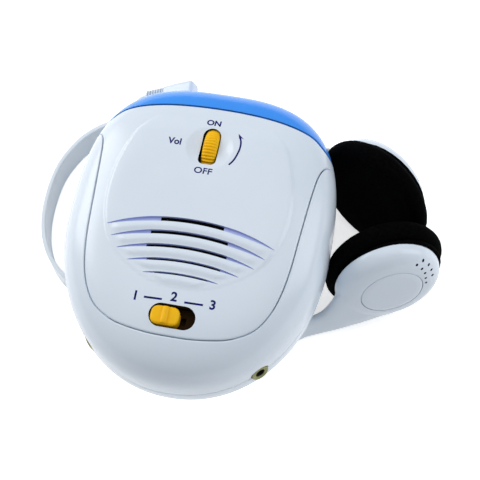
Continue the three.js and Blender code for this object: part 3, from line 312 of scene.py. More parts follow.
def within(x, y, polygon):
    """Whether each place is inside a closed polygon: a line along X crosses an odd number of sides."""
    inside = np.zeros(np.shape(x), bool)
    for (ax, ay), (bx, by) in zip(polygon, np.roll(polygon, -1, axis=0)):
        crosses = (ay > y) != (by > y)
        inside ^= crosses & (x < ax + (bx - ax) * (y - ay) / (by - ay + 1e-12))
    return inside


def both_sides(side, middle=()):
    """A line from its right side, its middle and the right side mirrored."""
    return np.array([*side, *middle, *[[-x, y] for x, y in side[::-1]]], float)


def smoothed(points, spacing=0.4):
    """The flat smooth line through flat points."""
    return through(np.hstack([points, np.zeros((len(points), 1))]), spacing)[:, :2]


def down_to_seam(line, count=24):
    """A line cut off near the outline, with both ends led straight down the wall to the seam in
    even steps of height."""
    line = line[share_of(line[:, 0], line[:, 1]) < STEEP_SHARE]
    tall = level_of(STEEP_SHARE) * (1 - np.arange(1, count + 1) / count)
    reach = (1 - (tall / FRONT_HEIGHT) ** FRONT_FULLNESS) ** (1 / FRONT_FULLNESS)
    first, last = (end * (reach / share_of(*end))[:, None] for end in (line[0], line[-1]))
    return np.vstack([first[::-1], line, last])


groove_line = down_to_seam(smoothed(both_sides([
    [64, 32.2], [45.5, 30.8], [42, 29.6], [40.2, 25], [39.2, 17], [38.1, 3], [37, -12],
    [35.5, -22], [33, -30], [29, -36.5], [23.5, -40.6], [17.5, -42.9], [8.4, -44.4],
], [[0, -44.7]])))
cap_line = down_to_seam(smoothed(both_sides([
    [64, 33.9], [46, 34.4], [40.5, 37.0], [34.5, 40.8], [22.5, 43.3], [7.5, 44.5],
])))
field_line = smoothed(both_sides([
    [14, 40.2], [21, 38.6], [26, 34], [29, 29], [32.5, 17], [33.3, 5], [32, -4], [28, -13.5],
    [20.6, -21], [10, -26.4],
], [[0, -27.5]]), 0.8)

# The raised field fades out towards the cap and is lower at the bottom end. The bars between the
# slots are crowned across, and sink at their ends. Both are kept as a table over the front.
table_x, table_y = (np.arange(low, high + TABLE_STEP, TABLE_STEP) for low, high in (TABLE_X, TABLE_Y))
grid_x, grid_y = np.meshgrid(table_x, table_y, indexing="ij")
field_side = np.where(within(grid_x, grid_y, field_line), 1, -1)
field_distance = distance_to(grid_x, grid_y, field_line) * field_side
fade = FADE_LOW_SHARE + (1 - FADE_LOW_SHARE) * eased((grid_y - FADE_LOW) / FADE_LOW_LENGTH)
fade *= 1 - eased((grid_y - FADE_TOP) / FADE_TOP_LENGTH)
raised_table = RAISED * eased(0.5 + field_distance / RAISED_EDGE) * fade
bar = (SLOT_TOP - SLOT_BOW * grid_x**2 - grid_y) / SLOT_PITCH
bar_ends = np.interp(bar, np.arange(6), [*SLOT_ENDS, LAST_BAR_END])
bar_lift = np.sin(np.pi * np.clip(bar, 0, 5)) ** 2 * np.where(bar > 4, LAST_BAR_SHARE, 1)
raised_table += BAR_CROWN * bar_lift * eased((bar_ends - np.abs(grid_x)) / BAR_FADE)


def raised(x, y):
    """The table's relief at any place, straight between its four nearest points."""
    u = np.clip((x - table_x[0]) / TABLE_STEP, 0, len(table_x) - 1.001)
    v = np.clip((y - table_y[0]) / TABLE_STEP, 0, len(table_y) - 1.001)
    i, j = u.astype(int), v.astype(int)
    fu, fv = u - i, v - j
    near = raised_table[i, j] * (1 - fu) + raised_table[i + 1, j] * fu
    far = raised_table[i, j + 1] * (1 - fu) + raised_table[i + 1, j + 1] * fu
    return near * (1 - fv) + far * fv


def dish(x, y):
    """The round hollow for the thumbwheel: its depth times (1 - share cubed) to the 1.4."""
    share = np.clip(np.hypot(x, y - DISH_Y) / DISH_RADIUS, 0, 1)
    return -DISH_DEPTH * (1 - share**3) ** 1.4


def panel_relief(x, y):
    """What the front panel's face stands over the plain shell: field and dish, less the lips."""
    edges = lip(distance_to(x, y, groove_line[::3])) + lip(distance_to(x, y, cap_line[::3]), CAP_LIP)
    return raised(x, y) + dish(x, y) - edges


def front_at(x, y):
    """Height of the front panel's face in the case's frame, away from its lips."""
    x, y = np.asarray(x, float), np.asarray(y, float)
    return level_of(share_of(x, y)) + SEAM / 2 + raised(x, y) + dish(x, y)


def by_length(line, count, edge, edge_share=0.93):
    """A line resampled by its length over the shell: edge points on each of the two steep ends,
    beyond the edge share, and the rest evenly between."""
    share = share_of(line[:, 0], line[:, 1])
    tall = np.column_stack([line, level_of(share)])
    along = np.concatenate([[0], np.cumsum(np.linalg.norm(np.diff(tall, axis=0), axis=1))])
    first = along[np.argmax(share < edge_share)]
    last = along[len(share) - 1 - np.argmax(share[::-1] < edge_share)]
    places = np.concatenate([
        np.linspace(0, first, edge)[:-1], np.linspace(first, last, count - 2 * edge + 2),
        np.linspace(last, along[-1], edge)[1:],
    ])
    return np.stack([np.interp(places, along, line[:, k]) for k in (0, 1)], 1)


def spaced(count, lengths):
    """Shares along each length: the fine steps of the lips at both ends, which shrink where the
    length is short, and even steps between."""
    lengths = lengths[:, None]
    fine = LIP_STEPS * np.minimum(1, lengths / LIP_STEPS_FROM) / lengths
    even = np.linspace(0, 1, count - 2 * len(LIP_STEPS) + 2)
    middle = fine[:, -1:] + (1 - 2 * fine[:, -1:]) * even
    return np.hstack([fine[:, :-1], middle, 1 - fine[:, -2::-1]])


def polar(reach, angle):
    """Flat places at a share of the outline and an angle."""
    reach = reach / share_of(np.cos(angle), np.sin(angle))
    return np.stack([reach * np.cos(angle), reach * np.sin(angle)], -1)


def front_panel_points(rows=238, columns=120, edge=20):
    """Rows run from the groove line to the cap line, straight over the crown. Near the outline they
    blend into arcs, on which share and angle change evenly."""
    groove = by_length(groove_line, rows, edge)[::-1]
    cap = by_length(cap_line, rows, edge)[::-1]
    t = spaced(columns, np.linalg.norm(cap - groove, axis=1))
    straight = groove[:, None] + (cap - groove)[:, None] * t[..., None]
    ends_x, ends_y = np.stack([groove, cap]).T
    angles, shares = np.arctan2(ends_y, ends_x), share_of(ends_x, ends_y)
    about, reach = (pair[:, :1] + (pair[:, 1:] - pair[:, :1]) * t for pair in (angles, shares))
    short = np.abs(angles[:, 1] - angles[:, 0]) < ARC_WIDEST
    weight = (short * eased((shares.max(1) - ARC_SHARE) / ARC_BLEND))[:, None, None]
    return straight * (1 - weight) + polar(reach, about) * weight


def inner_skin(points):
    """The skin under a front moulding's face: its places a wall inside, at the level of a shell
    that is a wall lower."""
    share = share_of(points[..., 0], points[..., 1])
    angle = np.arctan2(points[..., 1], points[..., 0])
    reach = share / share_of(np.cos(angle), np.sin(angle), WALL)
    low = level_of(share, FRONT_HEIGHT - WALL)
    return np.stack([reach * np.cos(angle), reach * np.sin(angle), low], -1)


def faces_of(indexes):
    """Quads of a grid of vertex numbers."""
    corners = [indexes[:-1, :-1], indexes[1:, :-1], indexes[1:, 1:], indexes[:-1, 1:]]
    return np.stack(corners, -1).reshape(-1, 4)


def shell_faces(rows, columns):
    """Quads of a closed body whose outer and inner skins are grids of the same size, joined by a
    wall along each of the four edges."""
    outer = np.arange(rows * columns).reshape(rows, columns)
    under = rows * columns
    quads = [faces_of(outer), faces_of(outer + under)[:, ::-1]]
    for edge in (outer[:, 0], outer[::-1, -1], outer[0, ::-1], outer[-1, :]):
        wall = np.stack([edge[:-1], edge[1:], edge[1:] + under, edge[:-1] + under], -1)
        quads.append(wall[:, ::-1])
    return np.vstack(quads)


def add_mesh(name, points, faces, materials, body, slot, origin=TABLE, replaces=(), sharp=SHARP):
    """A piece from points in millimetres and faces, its doubles merged and its normals outward."""
    mesh = bpy.data.meshes.new(name)
    places = (np.asarray(points, float) + origin) * MM
    mesh.from_pydata(places.tolist(), [], [list(map(int, face)) for face in faces])
    mesh.validate()
    for material in materials:
        mesh.materials.append(material)
    tool = bmesh.new()
    tool.from_mesh(mesh)
    bmesh.ops.remove_doubles(tool, verts=tool.verts, dist=1e-7)
    bmesh.ops.recalc_face_normals(tool, faces=tool.faces)
    tool.to_mesh(mesh)
    tool.free()
    mesh.shade_smooth()
    mesh.set_sharp_from_angle(angle=np.radians(sharp))
    piece = placed(name, mesh)
    if body:
        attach(piece, body)
    if replaces:
        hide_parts(*replaces)
    return piece


def values_of(items, name, kind=float, width=3):
    """One property of all vertices, faces or corners, as rows of an array or a plain one."""
    values = np.zeros(len(items) * width, kind)
    items.foreach_get(name, values)
    return values.reshape(-1, width).squeeze()


def face_middles(piece):
    """The middles of a piece's faces in the case's frame."""
    return values_of(piece.data.polygons, "center") / MM - CASE


def repaint(piece, chosen, index):
    """Gives the chosen faces the piece's material of that number, and the others its first."""
    piece.data.polygons.foreach_set("material_index", np.where(chosen, index, 0).astype(np.int32))


def paint_gap_shade(piece, line, index, reach=0.12, upright=0.6):
    """Paints shade on the upright walls beside a line: they take a dark material, so that the gap there
    reads as a shadowed line.
    """
    x, y, _ = face_middles(piece).T
    walls = np.abs(values_of(piece.data.polygons, "normal")[:, 2]) < upright
    repaint(piece, walls & (distance_to(x, y, line) < reach), index)


white = surface("white_plastic", (0.765, 0.845, 0.93), (0.745, 0.825, 0.915), 0.24, bump=0.1)
# The slot grooves' floors take a lavender copy of the white plastic: painted shade.
painted_recess_shade = surface("recess_painted_shade", (0.50, 0.56, 0.86), (0.47, 0.53, 0.83), 0.5, bump=0.1)
# Black is both the black plastic of parts inside and painted shade on the walls of narrow gaps.
black_and_painted_gap_shade = surface("black_plastic", (0.015, 0.015, 0.017), (0.010, 0.010, 0.012), 0.5, bump=0.1)
flat_grid = front_panel_points()
panel_x, panel_y = flat_grid[..., 0], flat_grid[..., 1]
panel_z = level_of(share_of(panel_x, panel_y)) + SEAM / 2 + panel_relief(panel_x, panel_y)
panel_points = np.vstack([
    np.stack([panel_x, panel_y, panel_z], -1).reshape(-1, 3), inner_skin(flat_grid).reshape(-1, 3),
])
front_panel = add_mesh("front_moulding", panel_points, shell_faces(*panel_x.shape),
                       [white, painted_recess_shade, black_and_painted_gap_shade], "unit", "white_plastic", CASE, ["front_panel"])
# Painted shade: the walls of the gap beside the cap line are made black.
paint_gap_shade(front_panel, cap_line, 2)

# Side collar and top cap
# The white collar goes round the sides and the bottom end, and the blue cap closes the top end. Both
# are moulded shells that meet the front panel in a narrow gap and the back shell at the seam.
GROOVE_GAP, CAP_GAP = 0.4, 0.55
SEAM_LIP, SEAM_LIP_FROM = 0.35, 0.02
WIDEST, SECTION_STEPS, SECTION_POWER, EVEN_SHARE = 52, 6000, 2.5, 0.25
RIM_EDGE, RIM_EDGE_SHARE = 10, 0.95


def moved_line(line, distance):
    """A line moved to its left by a distance."""
    along = np.gradient(line, axis=0)
    along /= np.linalg.norm(along, axis=1)[:, None]
    return line + np.stack([-along[:, 1], along[:, 0]], 1) * distance


def rim_moulding(name, line, edge_lip, material, slot, node, rows, columns):
    """A moulding between its edge line and the outline at the seam. Each row goes down the shell's
    section by its length, and turns a quarter of the way towards an even spread of angles."""
    line = line[share_of(line[:, 0], line[:, 1]) < STEEP_SHARE]
    line = by_length(line, rows, RIM_EDGE, RIM_EDGE_SHARE)
    start = np.unwrap(np.arctan2(line[:, 1], line[:, 0]))
    stop = start * (1 - EVEN_SHARE) + np.linspace(start[0], start[-1], rows) * EVEN_SHARE
    lift = np.linspace(0, 1, SECTION_STEPS) ** SECTION_POWER * np.pi / 2
    shares, lifts = np.cos(lift) ** (2 / FRONT_FULLNESS), np.sin(lift) ** (2 / FRONT_FULLNESS)
    steps = np.hypot(np.diff(WIDEST * shares), np.diff(FRONT_HEIGHT * lifts))
    along = np.concatenate([[0], np.cumsum(steps)])
    length = np.interp(-share_of(line[:, 0], line[:, 1]), -shares, along)
    t = spaced(columns, length)
    place = length[:, None] * (1 - t)
    angle = start[:, None] + (stop - start)[:, None] * t
    reach, rise = np.interp(place, along, shares), np.interp(place, along, lifts)
    outer = np.dstack([polar(reach, angle), rise * FRONT_HEIGHT])
    c, s = np.cos(angle), np.sin(angle)
    drawn_in = share_of(c, s) / share_of(c, s, WALL)
    inner = np.dstack([outer[..., :2] * drawn_in[..., None], rise * (FRONT_HEIGHT - WALL)])
    outer[..., 2] += SEAM / 2 - lip(distance_to(outer[..., 0], outer[..., 1], line), edge_lip)
    outer[..., :2] *= 1 - lip(outer[..., 2] - SEAM / 2 + SEAM_LIP_FROM, SEAM_LIP)[..., None] / WIDEST
    return add_mesh(name, np.vstack([outer.reshape(-1, 3), inner.reshape(-1, 3)]),
                    shell_faces(rows, columns), [material, black_and_painted_gap_shade], "unit", slot, CASE, [node])


blue = surface("blue_plastic", (0.042, 0.31, 0.97), (0.039, 0.29, 0.94), 0.22, bump=0.08)
collar = rim_moulding("side_moulding", moved_line(groove_line, GROOVE_GAP), LIP, white, "white_plastic",
                      "side_collar", 230, 60)
cap_edge = moved_line(cap_line[::-1], CAP_GAP)
top_cap = rim_moulding("cap_moulding", cap_edge, CAP_LIP, blue, "blue_plastic", "top_cap", 150, 40)
# Painted shade: the walls of the gap beside the cap's edge are made black.
paint_gap_shade(top_cap, cap_edge, 1)

# Speaker slots
# Five bowed slots narrow to points at their ends. They are shallow grooves in the front panel, and
# open only over the speaker's round port, where they go through it. The grooves' floors are a
# lavender copy of the white plastic and the walls through the port near black: both painted shade.
SPEAKER_Y, PORT_RADIUS = -11.5, 14.5
SLOT_WIDTHS, SLOT_DROPS = (1.7, 1.42, 1.25, 1.0, 0.72), (0, 0.12, 0.25, 0.45, 0.5)
SLOT_DEPTH, PORT_DEPTH, PORT_INSET = 1.15, 5, 0.03
SLOT_SLACK, CLEAR_ABOVE = 0.06, 2
SLOT_STATIONS, SLOT_END_DEPTH = 61, 0.3


def tube_faces(sections, corners):
    """Quads round a row of closed sections, with a face across each end."""
    index = np.arange(sections * corners).reshape(sections, corners)
    index = np.hstack([index, index[:, :1]])
    faces = [tuple(face) for face in faces_of(index)]
    return faces + [tuple(index[0, :-1]), tuple(index[-1, :-1][::-1])]


def bowed_slot(row, depth, half, narrower=0.0):
    """A slot's body, from a depth under the face to clear above it. Its middle drops with x squared,
    and its width and depth taper with 1.3 times (1 - share squared) to the 0.8."""
    x = np.linspace(-half, half, SLOT_STATIONS)
    middle = SLOT_TOP - row * SLOT_PITCH - SLOT_DROPS[row] - SLOT_BOW * x**2
    taper = np.minimum(1, 1.3 * (1 - (x / SLOT_ENDS[row]) ** 2) ** 0.8)
    thick = SLOT_WIDTHS[row] / 2 * taper + SLOT_SLACK - narrower
    upper, lower = middle + thick, middle - thick
    deep = depth * (SLOT_END_DEPTH + (1 - SLOT_END_DEPTH) * taper)
    corners = [(upper, -deep), (lower, -deep), (lower, CLEAR_ABOVE), (upper, CLEAR_ABOVE)]
    points = np.stack([np.stack([x, y, front_at(x, y) + lift], 1) for y, lift in corners], 1)
    return points.reshape(-1, 3), tube_faces(SLOT_STATIONS, 4)


def several(bodies):
    """Points and faces of several bodies in one list."""
    points, faces, count = [], [], 0
    for body_points, body_faces in bodies:
        points.append(body_points)
        faces += [tuple(int(v) + count for v in face) for face in body_faces]
        count += len(body_points)
    return np.vstack(points), faces


def cutter(bodies, material, origin=CASE):
    """A body to cut with, whose material the cut faces take."""
    return add_mesh("cutter", *several(bodies), [material], None, None, origin)


def as_shown(item):
    """A mesh of an object as it shows, with its modifiers or its letters."""
    return bpy.data.meshes.new_from_object(item.evaluated_get(bpy.context.evaluated_depsgraph_get()))


def cut_away(piece, tool):
    """Takes the tool out of the piece. The cut faces keep the tool's material."""
    change = piece.modifiers.new("cut", "BOOLEAN")
    change.operation = "DIFFERENCE"
    change.solver = "EXACT"
    change.object = tool
    change.material_mode = "TRANSFER"
    made = as_shown(piece)
    piece.modifiers.clear()
    old = piece.data
    piece.data = made
    made.name = piece.name
    bpy.data.meshes.remove(old)
    bpy.data.objects.remove(tool)
    made.shade_smooth()
    made.set_sharp_from_angle(angle=np.radians(SHARP))


# Near black painted shade for the walls of slots and holes that go through, and for bores.
painted_slot_shade = surface("slot_wall_painted_shade", (0.012, 0.010, 0.012), (0.008, 0.007, 0.009), 0.6, bump=0.1)
slot_rows = range(len(SLOT_ENDS))
cut_away(front_panel, cutter([bowed_slot(row, SLOT_DEPTH, SLOT_ENDS[row]) for row in slot_rows],
                             painted_recess_shade))
port_halves = [np.sqrt(PORT_RADIUS**2 - (SLOT_TOP - row * SLOT_PITCH - SPEAKER_Y) ** 2)
               for row in slot_rows]
cut_away(front_panel, cutter(
    [bowed_slot(row, PORT_DEPTH, port_halves[row], PORT_INSET) for row in slot_rows], painted_slot_shade,
))

# Thumbwheel
# A yellow moulded wheel with fine ridges across its rim and rounded shoulders, on a steel shaft. It
# turns in a slot in the dish, which is longer than the wheel at its upper end. The slot's walls and
# the room under it are painted near black as shade.
WHEEL_Y, WHEEL_LEVEL = 28.3, 15.63
WHEEL_RADIUS, WHEEL_WIDTH = 9.65, 5.4
HUB_RADIUS, RIM_DEPTH = 2, 3
RIDGES, RIDGE_STEPS, RIDGE_DEPTH, RIDGE_FADE = 50, 10, 0.34, 1.5
SHOULDER = (1.7, 2.3)
ROOM_AROUND, ROOM_BESIDE, ROOM_SHOULDER = 0.2, 0.3, (1.5, 2.2)
OPENING_HALF, OPENING_SHIFT = 3.3, 0.2
OPENING_TOP, OPENING_RISE = 32.2, 3.4
OPENING_LOW, OPENING_DROP, OPENING_CORNER = 22.7, 2.1, 1.9
OPENING_FLOOR, CUT_TOP = 20, 30


def circle(count):
    """Even angles round a circle."""
    return np.arange(count) / count * 2 * np.pi


def turned(profile, sides, place=(0, 0, 0), direction=(0, 0, 1)):
    """A profile of radius and height, which starts and ends on the axis, turned about a direction:
    each point is the radius times a ring's direction plus the height times the axis."""
    profile = np.asarray(profile, float)
    about = circle(sides)
    axis = unit(direction)
    first = unit(np.cross([0, 1, 0] if abs(axis[1]) < 0.9 else [1, 0, 0], axis))
    second = np.cross(axis, first)
    ring = np.cos(about)[:, None] * first + np.sin(about)[:, None] * second
    rows = profile[1:-1]
    body = rows[:, None, :1] * ring[None] + rows[:, None, 1:] * axis
    points = np.vstack([axis * profile[0, 1], body.reshape(-1, 3), axis * profile[-1, 1]])
    index = 1 + np.arange(len(rows) * sides).reshape(len(rows), sides)
    index = np.hstack([index, index[:, :1]])
    last = len(points) - 1
    faces = [tuple(face) for face in faces_of(index)]
    faces += [(0, b, a) for a, b in zip(index[0], index[0, 1:])]
    faces += [(last, a, b) for a, b in zip(index[-1], index[-1, 1:])]
    return points + np.asarray(place, float), faces


def prism(outline, low, high):
    """A flat outline carried up from one level to another."""
    ends = [np.column_stack([outline, np.full(len(outline), z)]) for z in (low, high)]
    return np.vstack(ends), tube_faces(2, len(outline))


def shoulder(radius, half, drop, narrowing, count):
    """A rounded edge from the rim's side to its top, as a quarter of an ellipse."""
    a = np.linspace(0, np.pi / 2, count)
    return np.stack([radius - drop * (1 - np.sin(a)), half - narrowing * (1 - np.cos(a))], 1)


room_half = WHEEL_WIDTH / 2 + ROOM_BESIDE
room_rim = shoulder(WHEEL_RADIUS + ROOM_AROUND, room_half, *ROOM_SHOULDER, 9)
room = np.vstack([[0, room_half], room_rim, room_rim[::-1] * [1, -1], [0, -room_half]])
cut_away(front_panel, cutter([turned(room, 120, [0, WHEEL_Y, WHEEL_LEVEL], [1, 0, 0])], painted_slot_shade))
quarter = np.linspace(0, np.pi / 2, 13)
top_end = np.stack([OPENING_HALF * np.cos(quarter), OPENING_TOP + OPENING_RISE * np.sin(quarter)], 1)
low_end = np.stack([OPENING_HALF - OPENING_CORNER * (1 - np.cos(quarter)),
                    OPENING_LOW - OPENING_DROP * np.sin(quarter)], 1)
opening = np.vstack([top_end, top_end[::-1] * [-1, 1], low_end * [-1, 1], low_end[::-1]])
opening[:, 0] -= OPENING_SHIFT
cut_away(front_panel, cutter([prism(opening, OPENING_FLOOR, CUT_TOP)], painted_slot_shade))

yellow = surface("yellow_plastic", (1.0, 0.56, 0.003), (0.95, 0.50, 0.002), 0.42, patch=120, bump=0.15,
                 Specular_IOR_Level=0.2)
around = circle(RIDGES * RIDGE_STEPS)
wheel_half = WHEEL_WIDTH / 2
rim = np.vstack([[HUB_RADIUS, wheel_half], [WHEEL_RADIUS - RIM_DEPTH, wheel_half],
                 shoulder(WHEEL_RADIUS, wheel_half, *SHOULDER, 7)])
rim = np.vstack([rim, rim[::-1] * [1, -1]])
# The cuts between ridges are raised cosines to the 1.4, and fade out on the wheel's flat sides
ridge_cut = RIDGE_DEPTH * (0.5 - 0.5 * np.cos(around * RIDGES)) ** 1.4
ridge_fade = np.clip((rim[:, :1] - WHEEL_RADIUS + RIM_DEPTH) / RIDGE_FADE, 0, 1)
rim_reach = rim[:, :1] - ridge_cut * ridge_fade
wheel_points = np.stack([
    np.broadcast_to(rim[:, 1:], rim_reach.shape), WHEEL_Y + rim_reach * np.cos(around),
    WHEEL_LEVEL + rim_reach * np.sin(around),
], -1)
add_mesh("thumbwheel", wheel_points.reshape(-1, 3), tube_faces(len(rim), len(around)), [yellow],
         "volume", "yellow_plastic", CASE, ["volume_wheel"], 60)

# Slider
# A yellow moulded knob with round ends and a rounded rib across it, in a slot whose walls are painted
# brown as shade, the colour of yellow plastic in shadow. Its plate runs under the front panel.
SLIDER_Y, SLIDER_X, SLIDER_LENGTH, SLIDER_WIDTH = -38.0, -2.5, 10.3, 6.8
SLIDER_SLOT_LENGTH, SLIDER_SLOT_WIDTH, SLIDER_SLOT_FLOOR = 16.6, 8.3, 15
KNOB_PROUD, KNOB_HEIGHT, KNOB_EDGE, KNOB_CROWN = 0.55, 4.6, 0.8, 0.12
CROWN_LENGTH, CROWN_WIDTH = 1.2, 0.8
PLATE_SHORTER, PLATE_WIDER, PLATE_TOP, PLATE_LOW, PLATE_EDGE = 0.8, 2.2, 4.1, 5.3, 0.3
RIB_HALF, RIB_HEIGHT, RIB_INSET = 1.3, 1.0, 0.35
SQUARENESS = 2.8
HALF_CIRCLE = np.linspace(-np.pi / 2, np.pi / 2, 25)


def true_normals(piece, relief, step=0.02, likeness=0.8, reach=0.12):
    """Gives a front moulding's outer face the exact normals of its surface: the slopes of (share to
    the n plus lift to the n), where the lift is the height less the relief over the full height.
    Corners further off the surface than the reach, or on faces unlike it, keep their own."""
    mesh = piece.data
    x, y, z = (values_of(mesh.vertices, "co") / MM - CASE).T
    here = relief(x, y)
    lift = np.clip((z - SEAM / 2 - here) / FRONT_HEIGHT, 0, 1)
    share = share_of(x, y)
    steep = share ** (FRONT_FULLNESS - 1)
    rise = lift ** (FRONT_FULLNESS - 1) / FRONT_HEIGHT
    slopes = [
        steep * (share_of(*moved) - share) / step - rise * (relief(*moved) - here) / step
        for moved in ((x + step, y), (x, y + step))
    ]
    normals = np.stack([*slopes, rise], 1)
    size = np.linalg.norm(normals, axis=1)
    off = (share**FRONT_FULLNESS + lift**FRONT_FULLNESS - 1) / np.maximum(size, 1e-9) / FRONT_FULLNESS
    normals /= np.maximum(size, 1e-12)[:, None]
    corners = values_of(mesh.loops, "vertex_index", int, 1)
    totals = values_of(mesh.polygons, "loop_total", int, 1)
    chosen = normals[corners]
    facing = (np.repeat(values_of(mesh.polygons, "normal"), totals, axis=0) * chosen).sum(1)
    chosen[(facing <= likeness) | (np.abs(off[corners]) >= reach)] = 0
    mesh.normals_split_custom_set(chosen.tolist())


def squared_circle(angle, power):
    """Places at these angles on a superellipse of half size 1: cosine and sine over the n-th root of
    the cosine to the n plus the sine to the n."""
    c, s = np.cos(angle), np.sin(angle)
    reach = (np.abs(c) ** power + np.abs(s) ** power) ** (-1 / power)
    return reach * c, reach * s


def stadium(length, width):
    """A bar's outline, whose ends are squarer than round."""
    x, y = squared_circle(HALF_CIRCLE, SQUARENESS)
    end = np.stack([(length - width) / 2 + width / 2 * x, width / 2 * y], 1)
    return np.vstack([end, -end])


def rounded_body(length, width, low, high, edge, crown=0.0):
    """The slider's knob or plate: upright sides, an edge rounded over and a crowned top."""
    corner = np.linspace(0.2, np.pi / 2, 7)
    insets = [0, 0, *(edge * (1 - np.cos(corner)))]
    levels = [low, high - edge, *(high - edge + edge * np.sin(corner))]
    outlines = [stadium(length - 2 * inset, width - 2 * inset) for inset in insets]
    outlines.append(stadium(length - width + CROWN_LENGTH, CROWN_WIDTH))
    rings = [np.column_stack([outline, np.full(len(outline), height)])
             for outline, height in zip(outlines, [*levels, high + crown])]
    return np.vstack(rings) + [SLIDER_X, SLIDER_Y, 0], tube_faces(len(rings), len(rings[0]))


# Brown painted shade for the slider's slot: the colour of yellow plastic in shadow.
painted_slider_shade = surface("slider_slot_painted_shade", (0.060, 0.030, 0.005), (0.040, 0.018, 0.003), 0.6, bump=0.1,
                Specular_IOR_Level=0.1)
slot_end = np.stack([np.cos(HALF_CIRCLE), np.sin(HALF_CIRCLE)], 1) * SLIDER_SLOT_WIDTH / 2
slot_end[:, 0] += (SLIDER_SLOT_LENGTH - SLIDER_SLOT_WIDTH) / 2
slider_slot = np.vstack([slot_end, -slot_end]) + [0, SLIDER_Y]
cut_away(front_panel, cutter([prism(slider_slot, SLIDER_SLOT_FLOOR, CUT_TOP)], painted_slider_shade))
# The front panel has all its openings now
true_normals(front_panel, panel_relief)

knob_top = float(level_of(share_of(np.array(0.0), np.array(SLIDER_Y)))) + KNOB_PROUD
rib_y, rib_x = np.meshgrid(np.linspace(-1, 1, 17) * (SLIDER_WIDTH / 2 - RIB_INSET),
                           np.linspace(-1.25, 1.25, 13), indexing="ij")
rib_rise = (RIB_HEIGHT * np.sqrt(np.clip(1 - (rib_x / RIB_HALF) ** 2, 0, 1))
            * (1 - np.abs(rib_y / (SLIDER_WIDTH / 2)) ** 6) ** 0.5)
rib_top = np.stack([rib_x + SLIDER_X, rib_y + SLIDER_Y, knob_top + rib_rise], -1)
rib_low = rib_top * [1, 1, 0] + [0, 0, knob_top - 1]
rib = np.vstack([rib_top.reshape(-1, 3), rib_low.reshape(-1, 3)]), shell_faces(*rib_x.shape)
knob_body = rounded_body(SLIDER_LENGTH, SLIDER_WIDTH, knob_top - KNOB_HEIGHT, knob_top, KNOB_EDGE,
                         KNOB_CROWN)
knob_plate = rounded_body(SLIDER_LENGTH - PLATE_SHORTER, SLIDER_WIDTH + PLATE_WIDER,
                          knob_top - PLATE_LOW, knob_top - PLATE_TOP, PLATE_EDGE)
add_mesh("slider_knob", *several([knob_body, rib, knob_plate]), [yellow], "slider", "yellow_plastic",
         CASE, ["mode_slider"], 50)

# Sockets
# Turned khaki-coloured rings with a bore for a small plug, pressed in from inside through holes
# in the collar, the cap and the back shell: one in each lower side and one in the top end. The bore
# and the holes' walls are painted near black as shade.
SOCKET_ANGLE = np.radians(-55.5)
SOCKET_TURN, SOCKET_LIFT = np.radians([-44, 12])
SOCKET_RING, SOCKET_HOLE, SOCKET_REACH = 3.4, 3.7, 6
LEFT_RECESS, BORE_BELOW = 0.9, -0.3

side_place = np.append(polar(1, SOCKET_ANGLE), 1)
side_way = np.array([np.cos(SOCKET_TURN) * np.cos(SOCKET_LIFT), np.sin(SOCKET_TURN) * np.cos(SOCKET_LIFT),
                     np.sin(SOCKET_LIFT)])
sockets = {
    "aux": (side_place, side_way),
    "record": (side_place * [-1, 1, 1], side_way * [-1, 1, 1]),
    "headset": (plug_base - CASE + TABLE, plug_axis),
}


def socket_holes():
    """A body for the holes of all sockets, whose walls it paints near black as shade."""
    low, high = -SOCKET_REACH, SOCKET_REACH
    profile = [[0, low], [SOCKET_HOLE, low], [SOCKET_HOLE, high], [0, high]]
    return cutter([turned(profile, 64, place, way) for place, way in sockets.values()], painted_slot_shade)


cut_away(collar, socket_holes())
cut_away(top_cap, socket_holes())
khaki = surface("socket_ring", (0.30, 0.31, 0.12), (0.24, 0.25, 0.09), 0.38, patch=700, bump=0.2,
                Metallic=0.35)
socket_profile = [
    [0, -14], [3, -14], [3, -1], [SOCKET_RING, -1], [SOCKET_RING, 0.25], [SOCKET_RING - 0.1, 0.45],
    [SOCKET_RING - 0.35, 0.55], [2.75, 0.55], [2.6, 0.35], [2.35, 0.3], [2.2, 0.45], [2.0, 0.45],
    [1.87, 0.3], [1.85, 0.1], [1.85, -12.9], [0, -13],
]
for name, (place, way) in sockets.items():
    if name == "record":
        place = place - LEFT_RECESS * way
    socket = add_mesh(f"{name}_socket", *turned(socket_profile, 64, place, way), [khaki, painted_slot_shade],
                      "unit", "brass", CASE, [f"{name}_jack"], 50)
    # Painted shade: the bore below the ring is made near black.
    repaint(socket, (face_middles(socket) - place) @ way < BORE_BELOW, 1)

# Lettering
# Pad-printed navy marks: ON, OFF and Vol round the wheel with an arrow that shows which way it
# turns, and the three places of the slider, numbered, with a dash between each two.
PRINT = 0.035
NUMERAL, NUMERAL_WEIGHT = 4.6, 0.14
DASH_WIDTH, ARC_WIDTH = 0.72, 0.62
navy = surface("navy_print", (0.003, 0.003, 0.15), (0.003, 0.003, 0.11), 0.6, patch=400, bump=0.1,
               Specular_IOR_Level=0.2)


def printed(name, flat, faces):
    """A print over the face: flat points at the front's height, a film's thickness proud and deep,
    with walls along the edges that only one face has."""
    flat = np.asarray(flat, float)
    top = np.column_stack([flat, front_at(flat[:, 0], flat[:, 1]) + PRINT])
    count = len(flat)
    faces = [tuple(map(int, face)) for face in faces]
    edges = {pair for face in faces for pair in zip(face, face[1:] + face[:1])}
    walls = [(b, a, a + count, b + count) for a, b in edges if (b, a) not in edges]
    under = [tuple(v + count for v in face[::-1]) for face in faces]
    add_mesh(name, np.vstack([top, top - [0, 0, 2 * PRINT]]), faces + under + sorted(walls), [navy],
             "unit", "blue_plastic", CASE, (), 30)


